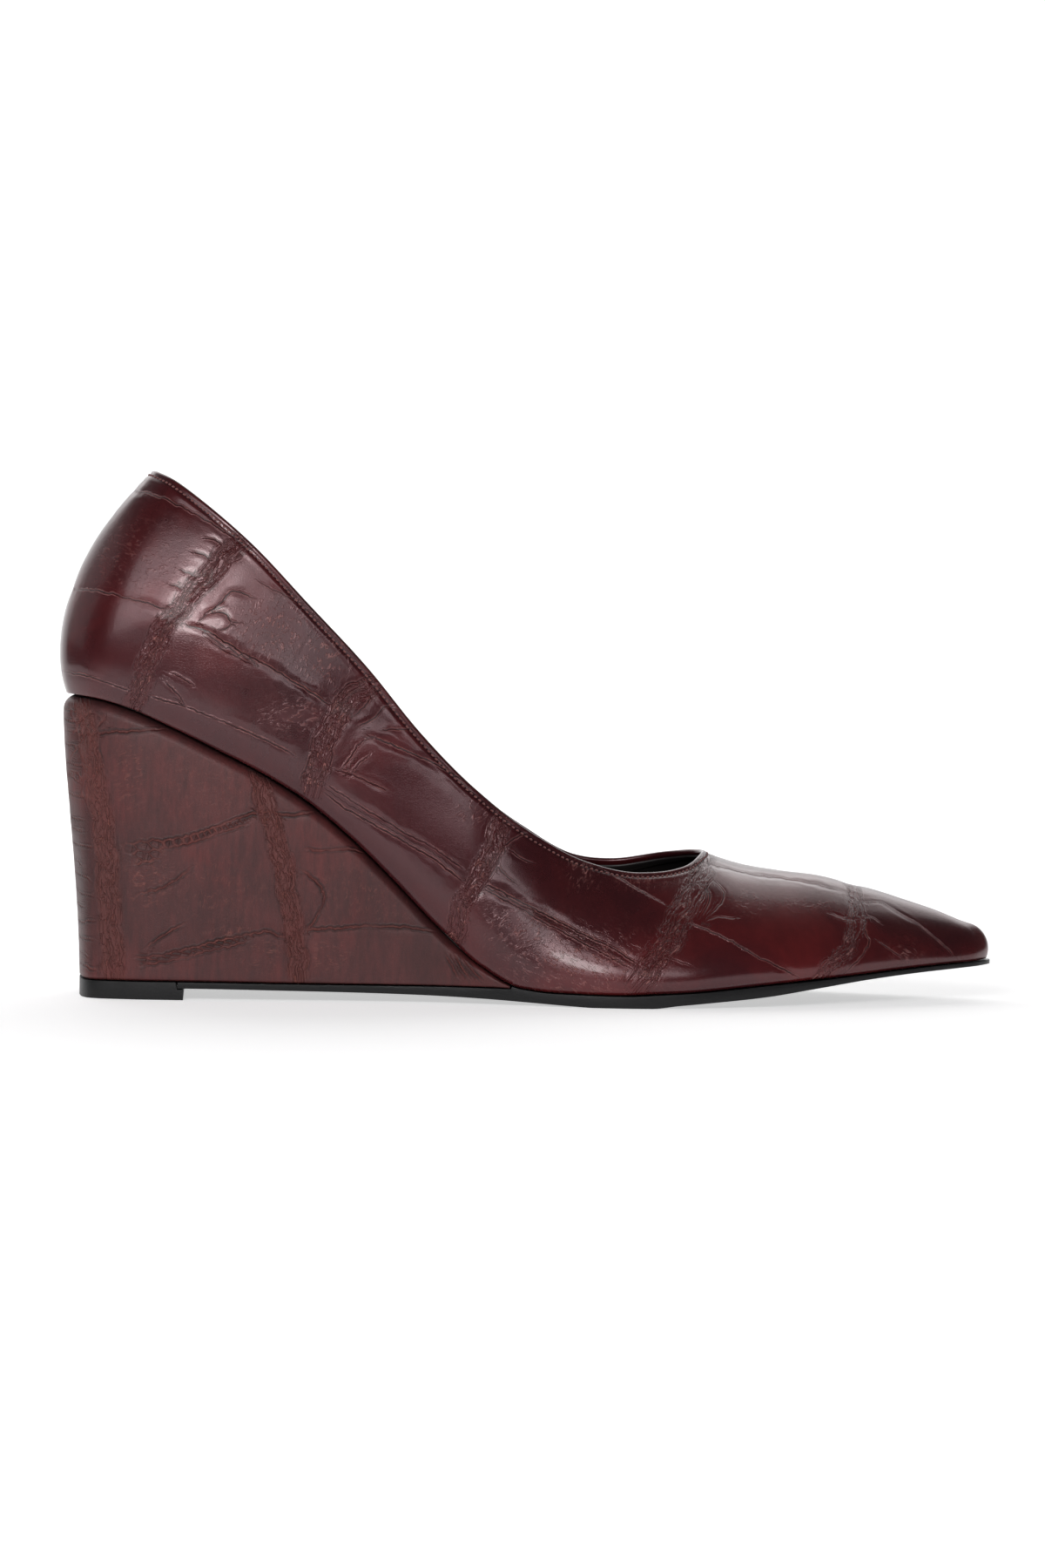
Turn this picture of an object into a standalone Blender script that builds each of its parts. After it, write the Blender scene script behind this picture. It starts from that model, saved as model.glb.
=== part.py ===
# Court shoe on a leather-covered wedge, right foot, standing on its sole.
# Sizes are in millimetres and become metres where a mesh is made.
# +X points to the toe, -Y to the outer side of the foot, +Z up.
from collections import namedtuple

import bpy
import numpy as np

MM = 0.001

# Driving sizes of the shoe
SHOE_LENGTH = 256.5
BALL_WIDTH = 80.0
HEEL_RISE = 78.0
BACK_HEIGHT = 60.0
TOE_SPRING = 10.0
UPPER_WALL = 1.6
INSOLE_THICKNESS = 2.2
SOLE_THICKNESS = 3.1
STRIP_THICKNESS = 1.6
LIFT_THICKNESS = 4.9
LIFT_LENGTH = 28.8
LIFT_STEP = 1.8
HEEL_TAPER = 5.2
SOLE_LEDGE = 1.0
WEDGE_LEDGE = 0.4
WEDGE_TIP = 0.6
GAP = 0.3

# How finely the curved pieces are cut into facets, and how much closer together
# the columns stand where the plan turns sharply
COLLAR_COLUMNS = 38
VAMP_COLUMNS = 16
WALL_ROWS = 12
WEDGE_COLUMNS = 40
WEDGE_ROWS = 6
STRIP_COLUMNS = 18
SOLE_COLUMNS = 30
INSOLE_COLUMNS = 56
LIFT_COLUMNS = 16
HEEL_CROWD = 0.35
THROAT_CROWD = 0.45
TOE_CROWD = 0.45

# Steps of the searches for a point, how far one step may go, along the foot line
# and as a share of the height, and the small steps that slopes are measured over
SEARCH_STEPS = 40
MEET_STEPS = 12
MEET_REACH = 3.0
MEET_SHARE = 0.15
SHARE_LIMITS = (0.2, 1.05)
SMALL_STEP = 0.05
SMALL_SHARE = 0.01

OUTER = -1
INNER = 1

# Rows run from the back of the heel to the toe. "at" is a share of the shoe's
# length, "outer" and "inner" are shares of the ball width on either side of the
# middle line. "swell" and "swell_up" say how the upper leaves the sole's edge,
# "taper" how much of the heel's taper the edge below has.
FootRow = namedtuple("FootRow", "at outer inner swell swell_up taper")
FOOT_ROWS = [FootRow(*row) for row in (
    (0.0078, 0.000, 0.000, 0.076, 0.260, 1.00),
    (0.0136, 0.145, 0.142, 0.076, 0.230, 0.90),
    (0.034, 0.222, 0.214, 0.074, 0.180, 0.35),
    (0.070, 0.272, 0.261, 0.076, 0.130, 0.38),
    (0.129, 0.300, 0.284, 0.079, 0.100, 0.42),
    (0.203, 0.314, 0.291, 0.081, 0.075, 0.40),
    (0.281, 0.318, 0.281, 0.081, 0.067, 0.35),
    (0.359, 0.325, 0.278, 0.081, 0.067, 0.25),
    (0.429, 0.350, 0.298, 0.082, 0.067, 0.12),
    (0.491, 0.395, 0.338, 0.088, 0.075, 0.00),
    (0.542, 0.438, 0.380, 0.096, 0.082, 0.00),
    (0.585, 0.463, 0.411, 0.100, 0.090, 0.00),
    (0.624, 0.470, 0.436, 0.100, 0.092, 0.00),
    (0.659, 0.465, 0.449, 0.100, 0.092, 0.00),
    (0.686, 0.449, 0.450, 0.100, 0.092, 0.00),
    (0.725, 0.418, 0.430, 0.100, 0.092, 0.00),
    (0.772, 0.366, 0.393, 0.094, 0.088, 0.00),
    (0.823, 0.299, 0.330, 0.082, 0.080, 0.00),
    (0.873, 0.224, 0.258, 0.068, 0.072, 0.00),
    (0.920, 0.150, 0.187, 0.050, 0.062, 0.00),
    (0.957, 0.089, 0.133, 0.034, 0.053, 0.00),
    (0.982, 0.036, 0.092, 0.026, 0.062, 0.00),
    (0.996, -0.036, 0.036, 0.021, 0.070, 0.00),
)]

# The same rows at the top of the last. "rise" is a share of the back height
# above the seat line. "back", "out_outer", "out_inner" and "down" are the pull of
# the curve that comes up to the top, as shares of the ball width. "turn" swings
# that pull from the side to the front round the toe, in degrees.
TopRow = namedtuple("TopRow", "at outer inner rise back out_outer out_inner down turn")
TOP_ROWS = [TopRow(*row) for row in (
    (0.096, 0.000, 0.000, 1.003, 0.258, 0.000, 0.000, 0.239, 0),
    (0.102, 0.088, 0.085, 0.998, 0.212, 0.062, 0.062, 0.237, 0),
    (0.119, 0.163, 0.157, 0.971, 0.160, 0.081, 0.081, 0.231, 0),
    (0.150, 0.232, 0.225, 0.913, 0.114, 0.069, 0.069, 0.225, 0),
    (0.199, 0.278, 0.267, 0.840, 0.087, 0.056, 0.056, 0.212, 0),
    (0.259, 0.297, 0.275, 0.728, 0.069, 0.044, 0.044, 0.200, 0),
    (0.320, 0.304, 0.270, 0.668, 0.050, 0.037, 0.037, 0.194, 0),
    (0.386, 0.300, 0.268, 0.738, 0.044, 0.060, 0.060, 0.212, 0),
    (0.456, 0.275, 0.256, 0.870, 0.062, 0.106, 0.100, 0.212, 0),
    (0.522, 0.188, 0.219, 0.895, 0.062, 0.180, 0.125, 0.187, 0),
    (0.569, 0.037, 0.150, 0.833, 0.037, 0.256, 0.169, 0.119, 0),
    (0.602, -0.062, 0.100, 0.770, 0.012, 0.312, 0.219, 0.056, 0),
    (0.632, -0.087, 0.087, 0.700, 0.000, 0.325, 0.238, 0.025, 0),
    (0.661, -0.081, 0.081, 0.638, 0.000, 0.306, 0.238, 0.006, 0),
    (0.689, -0.062, 0.062, 0.588, 0.000, 0.300, 0.231, 0.000, 0),
    (0.725, -0.062, 0.062, 0.519, 0.000, 0.287, 0.225, 0.000, 0),
    (0.768, -0.057, 0.057, 0.471, 0.000, 0.244, 0.200, 0.000, 0),
    (0.815, -0.052, 0.052, 0.429, 0.000, 0.194, 0.169, 0.000, 0),
    (0.864, -0.047, 0.047, 0.360, 0.000, 0.150, 0.137, 0.000, 0),
    (0.908, -0.044, 0.044, 0.286, 0.000, 0.106, 0.100, 0.000, 4),
    (0.943, -0.040, 0.040, 0.226, 0.000, 0.069, 0.066, 0.000, 14),
    (0.967, -0.038, 0.038, 0.178, 0.000, 0.050, 0.049, 0.000, 45),
    (0.979, -0.037, 0.037, 0.158, 0.000, 0.047, 0.047, 0.000, 90),
)]
THROAT_ROW = 14

# The collar's edge, from the back to the throat, on the same rows. "rise" is a
# share of the back height above the seat line of the row.
EdgeRow = namedtuple("EdgeRow", "at outer inner rise_outer rise_inner")
EDGE_ROWS = [EdgeRow(*row) for row in (
    (0.096, 0.000, 0.000, 1.003, 1.003),
    (0.102, 0.088, 0.085, 0.998, 0.998),
    (0.119, 0.163, 0.157, 0.971, 0.971),
    (0.150, 0.232, 0.225, 0.913, 0.913),
    (0.199, 0.278, 0.267, 0.840, 0.840),
    (0.259, 0.297, 0.275, 0.728, 0.728),
    (0.320, 0.304, 0.270, 0.668, 0.668),
    (0.378, 0.310, 0.275, 0.682, 0.682),
    (0.437, 0.322, 0.290, 0.732, 0.732),
    (0.499, 0.322, 0.305, 0.688, 0.688),
    (0.557, 0.274, 0.302, 0.578, 0.570),
    (0.608, 0.252, 0.295, 0.540, 0.562),
    (0.649, 0.190, 0.244, 0.532, 0.592),
    (0.676, 0.090, 0.165, 0.552, 0.610),
    (0.689, -0.062, 0.062, 0.588, 0.588),
)]

# Lines of the side, as shares of the shoe's length. "seat" is the share of the
# heel rise, "spring" the share of the toe spring, in the line where the upper
# meets what is below it.
SeatRow = namedtuple("SeatRow", "at seat spring")
SEAT_ROWS = [SeatRow(*row) for row in (
    (0.000, 1.004, 0.00),
    (0.040, 0.986, 0.00),
    (0.077, 0.950, 0.00),
    (0.122, 0.887, 0.00),
    (0.167, 0.816, 0.00),
    (0.212, 0.742, 0.00),
    (0.258, 0.650, 0.00),
    (0.304, 0.529, 0.00),
    (0.349, 0.386, 0.00),
    (0.395, 0.230, 0.00),
    (0.440, 0.095, 0.00),
    (0.485, 0.016, 0.00),
    (0.520, 0.004, 0.00),
    (0.592, 0.000, 0.00),
    (0.629, 0.000, 0.05),
    (0.665, 0.000, 0.10),
    (0.740, 0.000, 0.27),
    (0.800, 0.000, 0.39),
    (0.915, 0.000, 0.65),
    (1.005, 0.000, 0.80),
)]

# The sole's underside: "strip" is the share of the height that the sole's strip
# has at the lift, "spring" the share of the toe spring.
TreadRow = namedtuple("TreadRow", "at strip spring")
TREAD_ROWS = [TreadRow(*row) for row in (
    (0.000, 1.00, 0.00),
    (0.136, 1.00, 0.00),
    (0.261, 0.90, 0.00),
    (0.379, 0.72, 0.00),
    (0.450, 0.50, 0.00),
    (0.491, 0.32, 0.00),
    (0.539, 0.08, 0.00),
    (0.560, 0.00, 0.00),
    (0.618, 0.00, 0.00),
    (0.647, 0.00, 0.08),
    (0.665, 0.00, 0.12),
    (0.740, 0.00, 0.29),
    (0.800, 0.00, 0.50),
    (0.855, 0.00, 0.69),
    (0.915, 0.00, 0.84),
    (1.005, 0.00, 1.00),
)]

# Where the wedge's underside starts to come down, and the back of the lift, as
# shares of the shoe's length
WEDGE_BACK = 0.10
LIFT_BACK = 0.022

# Pull of the wedge's wall below its top edge and above its bottom edge, as
# shares of the wall's height down and of the ball width outwards.
WEDGE_TOP_PULL = (0.14, 0.022)
WEDGE_LOW_PULL = (0.40, 0.005)


def hermite_slopes(places, values):
    """Slopes of the parabola through each value and its neighbours."""
    step = np.diff(places)[:, None]
    rate = np.diff(values, axis=0) / step
    slopes = np.empty_like(values)
    slopes[1:-1] = (step[1:] * rate[:-1] + step[:-1] * rate[1:]) / (step[1:] + step[:-1])
    slopes[0] = rate[0]
    slopes[-1] = rate[-1]
    return slopes


def curve_value(places, values, slopes, place):
    """A point of the smooth curve through the values."""
    i = int(np.clip(np.searchsorted(places, place, side="right") - 1, 0, len(places) - 2))
    step = places[i + 1] - places[i]
    t = (place - places[i]) / step
    start = (1 + 2 * t) * (1 - t) ** 2 * values[i] + t * (1 - t) ** 2 * step * slopes[i]
    end = t * t * (3 - 2 * t) * values[i + 1] + t * t * (t - 1) * step * slopes[i + 1]
    return start + end


def open_curve(places, values):
    places = np.array(places, float)
    values = np.array(values, float)
    slopes = hermite_slopes(places, values)
    return lambda place: curve_value(places, values, slopes, place)


def side_curve(places, outer_values, inner_values):
    """A curve for each side, both smooth across the middle of the heel and toe."""
    full = 2 * places[-1]
    around = list(places) + [full - place for place in reversed(places[:-1])]
    before = [place - full for place in around[-3:-1]]
    after = [place + full for place in around[1:3]]
    values = list(outer_values) + list(reversed(inner_values[:-1]))
    values = values[-3:-1] + values + values[1:3]
    round_curve = open_curve(before + around + after, values)

    def point(side, place):
        return round_curve(place if side == OUTER else full - place)

    return point


def level_curve(rows, *columns):
    """A height along the shoe that never overshoots its rows."""
    at = np.array([row.at for row in rows]) * SHOE_LENGTH
    heights = np.array([sum(share * size for share, size in zip(row[1:], columns)) for row in rows])
    step = np.diff(at)
    rate = np.diff(heights) / step
    slopes = np.zeros(len(rows))
    slopes[0] = rate[0]
    slopes[-1] = rate[-1]
    for i in range(1, len(rows) - 1):
        if rate[i - 1] * rate[i] > 0:
            slopes[i] = 2 * rate[i - 1] * rate[i] / (rate[i - 1] + rate[i])
    return lambda x: float(curve_value(at, heights[:, None], slopes[:, None], x)[0])


seat_line = level_curve(SEAT_ROWS, HEEL_RISE, TOE_SPRING)
strip_height = LIFT_THICKNESS - LIFT_STEP
tread_line = level_curve(TREAD_ROWS, strip_height, TOE_SPRING)


def seat(x):
    """Height of the line that the upper stands on."""
    return SOLE_THICKNESS + GAP + seat_line(x)


def level(line, x, off):
    """A height at a distance square to the line, above it or below."""
    slope = (line(x + SMALL_STEP) - line(x - SMALL_STEP)) / (2 * SMALL_STEP)
    return line(x) + off * (1 + slope * slope) ** 0.5


def flat_points(rows, side):
    half = "outer" if side == OUTER else "inner"
    return [np.array([row.at * SHOE_LENGTH, side * getattr(row, half) * BALL_WIDTH]) for row in rows]


def row_places():
    """Where each row lies round the foot line, the same on both sides."""
    outer = flat_points(FOOT_ROWS, OUTER)
    inner = flat_points(FOOT_ROWS, INNER)
    places = [0.0]
    for i in range(1, len(FOOT_ROWS)):
        step = np.linalg.norm(outer[i] - outer[i - 1]) + np.linalg.norm(inner[i] - inner[i - 1])
        places.append(places[-1] + step / 2)
    return places


PLACES = row_places()
foot_line = side_curve(PLACES, flat_points(FOOT_ROWS, OUTER), flat_points(FOOT_ROWS, INNER))
swells = [
    np.array([row.swell * BALL_WIDTH, row.swell_up * BACK_HEIGHT, row.taper * HEEL_TAPER])
    for row in FOOT_ROWS
]
swell_curve = side_curve(PLACES, swells, swells)


def foot_normal(side, place):
    """The way out from the foot line, in plan."""
    along = foot_line(side, place + SMALL_STEP) - foot_line(side, place - SMALL_STEP)
    out = np.array([along[1], -along[0]]) * -side
    return out / np.linalg.norm(out)


def plan_point(side, place, out):
    return foot_line(side, place) + foot_normal(side, place) * out


def tops_and_pulls(side):
    """Top points of the last's rows and the points that pull the curve there."""
    tops = []
    for foot_row, row, flat in zip(FOOT_ROWS, TOP_ROWS, flat_points(TOP_ROWS, side)):
        height = seat(foot_row.at * SHOE_LENGTH) + row.rise * BACK_HEIGHT
        tops.append(np.array([flat[0], flat[1], height]))
    pulls = []
    for i, row in enumerate(TOP_ROWS):
        reach = row.out_outer if side == OUTER else row.out_inner
        turn = np.radians(row.turn)
        pull = np.array([-row.back, side * reach * np.cos(turn), -row.down])
        if row.turn:
            ridge = tops[i] - tops[i - 1]
            pull += reach * np.sin(turn) * ridge / np.linalg.norm(ridge)
        pulls.append(pull * BALL_WIDTH)
    return tops, pulls


outer_tops, outer_pulls = tops_and_pulls(OUTER)
inner_tops, inner_pulls = tops_and_pulls(INNER)
top_curve = side_curve(PLACES, outer_tops, inner_tops)
pull_curve = side_curve(PLACES, outer_pulls, inner_pulls)


def last_point(side, place, share):
    """A point of the upper's outside: share 0 at the sole's edge, 1 at the top."""
    flat = foot_line(side, place)
    foot = np.array([flat[0], flat[1], seat(flat[0])])
    swell = swell_curve(side, place)
    out = foot_normal(side, place) * swell[0]
    low = foot + np.array([out[0], out[1], swell[1]])
    top = top_curve(side, place)
    high = top + pull_curve(side, place)
    rest = 1 - share
    return (
        rest ** 3 * foot
        + 3 * rest ** 2 * share * low
        + 3 * rest * share ** 2 * high
        + share ** 3 * top
    )


def edge_points(side):
    """Where the collar's edge should pass, row by row."""
    points = []
    for foot_row, row, flat in zip(FOOT_ROWS, EDGE_ROWS, flat_points(EDGE_ROWS, side)):
        rise = row.rise_outer if side == OUTER else row.rise_inner
        height = seat(foot_row.at * SHOE_LENGTH) + rise * BACK_HEIGHT
        points.append(np.array([flat[0], flat[1], height]))
    return points


EDGE_PLACES = PLACES[:THROAT_ROW + 1]
edge_curve = side_curve(EDGE_PLACES, edge_points(OUTER), edge_points(INNER))


def meet_last(side, place, share, target):
    """Slides a point over the upper's outside to the spot nearest the target."""
    for _ in range(MEET_STEPS):
        here = last_point(side, place, share)
        by_place = (last_point(side, place + SMALL_STEP, share) - here) / SMALL_STEP
        by_share = (last_point(side, place, share + SMALL_SHARE) - here) / SMALL_SHARE
        frame = np.stack([by_place, by_share], axis=1)
        on, up = np.linalg.lstsq(frame, target - here, rcond=None)[0]
        on = np.clip(on, -MEET_REACH, MEET_REACH)
        up = np.clip(up, -MEET_SHARE, MEET_SHARE)
        place = float(np.clip(place + on, 0, PLACES[-1]))
        share = float(np.clip(share + up, *SHARE_LIMITS))
    return place, share


def ring_places(start, end, count, crowd_start, crowd_end):
    """Places from start to end, closer together by these shares at the ends."""
    places = []
    for i in range(count + 1):
        along = i / count
        rest = 1 - along
        shift = crowd_end * along ** 2 * rest - crowd_start * along * rest ** 2
        places.append(start + (end - start) * (along + shift))
    return places


def collar_columns(side):
    """Foot place, top place and top share of each column under the collar."""
    throat = EDGE_PLACES[-1]
    feet = ring_places(0.0, throat, COLLAR_COLUMNS, HEEL_CROWD, THROAT_CROWD)
    columns = [(0.0, 0.0, 1.0)]
    place, share = 0.0, 1.0
    for foot in feet[1:-1]:
        place, share = meet_last(side, max(place, foot), share, edge_curve(side, foot))
        columns.append((foot, place, share))
    return columns + [(throat, throat, 1.0)]


def vamp_columns():
    """Columns from the throat to the toe, closer together round the tip."""
    places = ring_places(EDGE_PLACES[-1], PLACES[-1], VAMP_COLUMNS, THROAT_CROWD, TOE_CROWD)
    return [(place, place, 1.0) for place in places[1:]]


def unit(vector):
    return vector / np.linalg.norm(vector)


class Skin:
    """Points and faces of one piece, in millimetres."""

    def __init__(self):
        self.points = []
        self.faces = []

    def add(self, point):
        self.points.append(np.array(point, float))
        return len(self.points) - 1

    def face(self, *corners):
        kept = []
        for corner in corners:
            if corner not in kept:
                kept.append(corner)
        if len(kept) > 2:
            self.faces.append(kept)

    def band(self, first, second):
        """Faces between two lines of points of the same length."""
        for i in range(len(first) - 1):
            self.face(first[i], first[i + 1], second[i + 1], second[i])

    def normals(self):
        """The way out at each point, from the faces round it."""
        sums = [np.zeros(3) for _ in self.points]
        for face in self.faces:
            start = self.points[face[0]]
            arms = [self.points[corner] - start for corner in face[1:]]
            square = sum(np.cross(a, b) for a, b in zip(arms[:-1], arms[1:]))
            for corner in face:
                sums[corner] = sums[corner] + square
        return [unit(total) for total in sums]


def column_points(side, column):
    foot, top, top_share = column
    points = []
    for row in range(WALL_ROWS + 1):
        up = row / WALL_ROWS
        points.append(last_point(side, foot + (top - foot) * up, top_share * up))
    return points


def upper_outside(skin):
    """Adds the outside of the upper, and gives its columns round both sides."""
    outer = collar_columns(OUTER) + vamp_columns()
    inner = collar_columns(INNER) + vamp_columns()
    round_both = [(OUTER, column) for column in outer]
    round_both += [(INNER, column) for column in reversed(inner[1:-1])]
    columns = []
    ridge = {}
    for side, column in round_both:
        points = column_points(side, column)
        on_ridge = column[1] >= EDGE_PLACES[-1]
        if on_ridge and side == INNER:
            line = [skin.add(point) for point in points[:-1]] + [ridge[column[1]]]
        else:
            line = [skin.add(point) for point in points]
        if on_ridge and side == OUTER:
            ridge[column[1]] = line[-1]
        columns.append((side, column[0], line))
    columns.append(columns[0])
    for first, second in zip(columns[:-1], columns[1:]):
        skin.band(second[2], first[2])
    return columns, set(ridge.values())


def make_upper():
    """The upper's outside, the same again inside its wall, and the edges between."""
    skin = Skin()
    columns, ridge = upper_outside(skin)
    within = {}
    for index, normal in enumerate(skin.normals()):
        within[index] = skin.add(skin.points[index] - normal * UPPER_WALL)
    for side, place, line in columns[:-1]:
        flat = plan_point(side, place, -UPPER_WALL)
        skin.points[within[line[0]]] = np.array([flat[0], flat[1], seat(flat[0])])
    skin.faces += [[within[corner] for corner in reversed(face)] for face in skin.faces]
    for (_, _, first), (_, _, second) in zip(columns[:-1], columns[1:]):
        skin.face(first[0], within[first[0]], within[second[0]], second[0])
        if not (first[-1] in ridge and second[-1] in ridge):
            skin.face(first[-1], second[-1], within[second[-1]], within[first[-1]])
    return skin


def place_at(x, side, out):
    """The place round the foot line whose edge point lies at this length."""
    low, high = 0.0, PLACES[-1]
    for _ in range(SEARCH_STEPS):
        middle = (low + high) / 2
        if plan_point(side, middle, out(side, middle))[0] < x:
            low = middle
        else:
            high = middle
    return (low + high) / 2


def slab(levels, columns):
    """A closed piece between the two side edges of each level, column by column.

    Each level gives the point of an edge for a side and a column, from the
    bottom up. A column whose sides meet in one point closes the piece there.
    """
    skin = Skin()
    lines = {OUTER: [], INNER: []}
    for column in columns:
        rows = {side: [height(side, column) for height in levels] for side in (OUTER, INNER)}
        first = [skin.add(point) for point in rows[OUTER]]
        second = []
        for index, point in zip(first, rows[INNER]):
            meets = np.linalg.norm(point - skin.points[index]) < GAP / 10
            second.append(index if meets else skin.add(point))
        lines[OUTER].append(first)
        lines[INNER].append(second)
    for i in range(len(columns) - 1):
        a, b = lines[OUTER][i], lines[OUTER][i + 1]
        c, d = lines[INNER][i], lines[INNER][i + 1]
        skin.band(b, a)
        skin.band(c, d)
        skin.face(a[0], c[0], d[0], b[0])
        skin.face(a[-1], b[-1], d[-1], c[-1])
    for end, turned in ((0, False), (-1, True)):
        a, c = lines[OUTER][end], lines[INNER][end]
        if a[0] != c[0]:
            for row in range(len(levels) - 1):
                corners = [a[row], a[row + 1], c[row + 1], c[row]]
                skin.face(*(reversed(corners) if turned else corners))
    return skin


def edge_out(side, place):
    """How far the bottom edge of wedge and sole stands out from the foot line."""
    return SOLE_LEDGE - swell_curve(side, place)[2]


def wedge_front():
    """Where the room between the sole and the seat is down to the wedge's tip."""
    low, high = WEDGE_BACK * SHOE_LENGTH, SHOE_LENGTH
    for _ in range(SEARCH_STEPS):
        middle = (low + high) / 2
        room = level(seat, middle, -GAP) - tread_line(middle) - SOLE_THICKNESS - GAP
        if room > WEDGE_TIP:
            low = middle
        else:
            high = middle
    return (low + high) / 2


WEDGE_END = wedge_front()
print("wedge ends at", round(WEDGE_END, 3), "mm from the back")


def wedge_low(x):
    """Underside of the wedge: the sole's strip and a gap below it."""
    front = WEDGE_END
    along = min(max((x - SHOE_LENGTH * WEDGE_BACK) / (front - SHOE_LENGTH * WEDGE_BACK), 0), 1)
    rear = tread_line(x) + STRIP_THICKNESS + GAP
    return rear + (SOLE_THICKNESS - STRIP_THICKNESS) * along ** 3


def wedge_low_edge(side, place):
    flat = plan_point(side, place, edge_out(side, place))
    return np.array([flat[0], flat[1], wedge_low(flat[0])])


def wedge_top_edge(side, place):
    flat = plan_point(side, place, WEDGE_LEDGE)
    return np.array([flat[0], flat[1], level(seat, flat[0], -GAP)])


def wedge_level(share):
    """A line round the wedge's wall, at this share of the way up."""

    def point(side, place):
        low, top = wedge_low_edge(side, place), wedge_top_edge(side, place)
        out = foot_normal(side, place)
        height = top[2] - low[2]
        drop, swell = WEDGE_TOP_PULL
        high_pull = top + np.array([out[0] * swell * BALL_WIDTH, out[1] * swell * BALL_WIDTH, 0])
        high_pull = high_pull - np.array([0, 0, drop * height])
        rise, swell = WEDGE_LOW_PULL
        low_pull = low + np.array([out[0] * swell * BALL_WIDTH, out[1] * swell * BALL_WIDTH, 0])
        low_pull = low_pull + np.array([0, 0, rise * height])
        rest = 1 - share
        return (
            rest ** 3 * low
            + 3 * rest ** 2 * share * low_pull
            + 3 * rest * share ** 2 * high_pull
            + share ** 3 * top
        )

    return point


def make_wedge():
    end = place_at(WEDGE_END, OUTER, lambda side, place: WEDGE_LEDGE)
    columns = ring_places(0.0, end, WEDGE_COLUMNS, HEEL_CROWD, 0.0)
    levels = [wedge_level(row / WEDGE_ROWS) for row in range(WEDGE_ROWS + 1)]
    return slab(levels, columns)


def sole_edge(height):
    def point(side, place):
        flat = plan_point(side, place, edge_out(side, place))
        return np.array([flat[0], flat[1], height(flat[0])])

    return point


def sole_top(x):
    """Top of the outsole: under the wedge at the back, under the upper in front."""
    if x < WEDGE_END + GAP:
        return wedge_low(x) - GAP
    return level(seat, x, -GAP)


def make_outsole():
    start_x = LIFT_BACK * SHOE_LENGTH + LIFT_LENGTH - LIFT_STEP + GAP
    step_x = WEDGE_END + GAP
    start = place_at(start_x, OUTER, edge_out)
    step = place_at(step_x, OUTER, edge_out)
    columns = ring_places(start, step - GAP / 2, STRIP_COLUMNS, 0.0, 0.0)
    columns += ring_places(step + GAP / 2, PLACES[-1], SOLE_COLUMNS, 0.0, TOE_CROWD)
    return slab([sole_edge(tread_line), sole_edge(sole_top)], columns)


def make_insole():
    """The insole, on the same line as the upper's edge and inside its wall."""

    def edge(rise):
        def point(side, place):
            flat = plan_point(side, place, -UPPER_WALL - GAP)
            return np.array([flat[0], flat[1], level(seat, flat[0], rise)])

        return point

    columns = ring_places(0.0, PLACES[-1], INSOLE_COLUMNS, HEEL_CROWD, TOE_CROWD)
    return slab([edge(0.0), edge(INSOLE_THICKNESS)], columns)


def make_lift():
    """The lift under the heel, with a step that takes the end of the sole."""
    end_x = LIFT_BACK * SHOE_LENGTH + LIFT_LENGTH
    step_x = end_x - LIFT_STEP
    step = place_at(step_x, OUTER, edge_out)
    end = place_at(end_x, OUTER, edge_out)
    columns = ring_places(0.0, step - GAP / 2, LIFT_COLUMNS, HEEL_CROWD, 0.0)
    columns += [step + GAP / 2, end]

    def top(x):
        if x < step_x:
            return wedge_low(x) - GAP
        return strip_height - GAP

    return slab([sole_edge(lambda x: 0.0), sole_edge(top)], columns)


def leather_material(name, colour, roughness, coat):
    material = bpy.data.materials.new(name)
    material.use_nodes = True
    shader = material.node_tree.nodes["Principled BSDF"]
    shader.inputs["Base Color"].default_value = (*colour, 1.0)
    shader.inputs["Roughness"].default_value = roughness
    shader.inputs["Metallic"].default_value = 0.0
    shader.inputs["Coat Weight"].default_value = coat
    material.diffuse_color = (*colour, 1.0)
    return material


def make_object(name, skin, material, middle):
    points = [tuple((point - middle) * MM) for point in skin.points]
    mesh = bpy.data.meshes.new(name)
    mesh.from_pydata(points, [], skin.faces)
    mesh.validate()
    mesh.materials.append(material)
    for polygon in mesh.polygons:
        polygon.use_smooth = True
    made = bpy.data.objects.new(name, mesh)
    bpy.context.scene.collection.objects.link(made)
    return made


def main():
    for old in list(bpy.data.objects):
        bpy.data.objects.remove(old, do_unlink=True)
    embossed = leather_material("oxblood_leather", (0.085, 0.016, 0.022), 0.38, 0.3)
    covered = leather_material("oxblood_cover", (0.105, 0.022, 0.024), 0.46, 0.2)
    lining = leather_material("black_lining", (0.012, 0.010, 0.011), 0.62, 0.0)
    black_sole = leather_material("black_sole", (0.014, 0.014, 0.015), 0.42, 0.1)
    rubber = leather_material("black_rubber", (0.020, 0.020, 0.021), 0.60, 0.0)
    pieces = [
        ("upper", make_upper(), embossed),
        ("insole", make_insole(), lining),
        ("wedge_heel", make_wedge(), covered),
        ("outsole", make_outsole(), black_sole),
        ("heel_lift", make_lift(), rubber),
    ]
    everything = np.concatenate([np.array(skin.points) for _, skin, _ in pieces])
    middle = (everything.max(axis=0) + everything.min(axis=0)) / 2
    middle[2] = 0.0
    for name, skin, material in pieces:
        make_object(name, skin, material, middle)


main()
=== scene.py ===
import math

import bmesh
import bpy
import numpy as np
from mathutils import Matrix, Vector, kdtree
from mathutils.bvhtree import BVHTree


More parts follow.
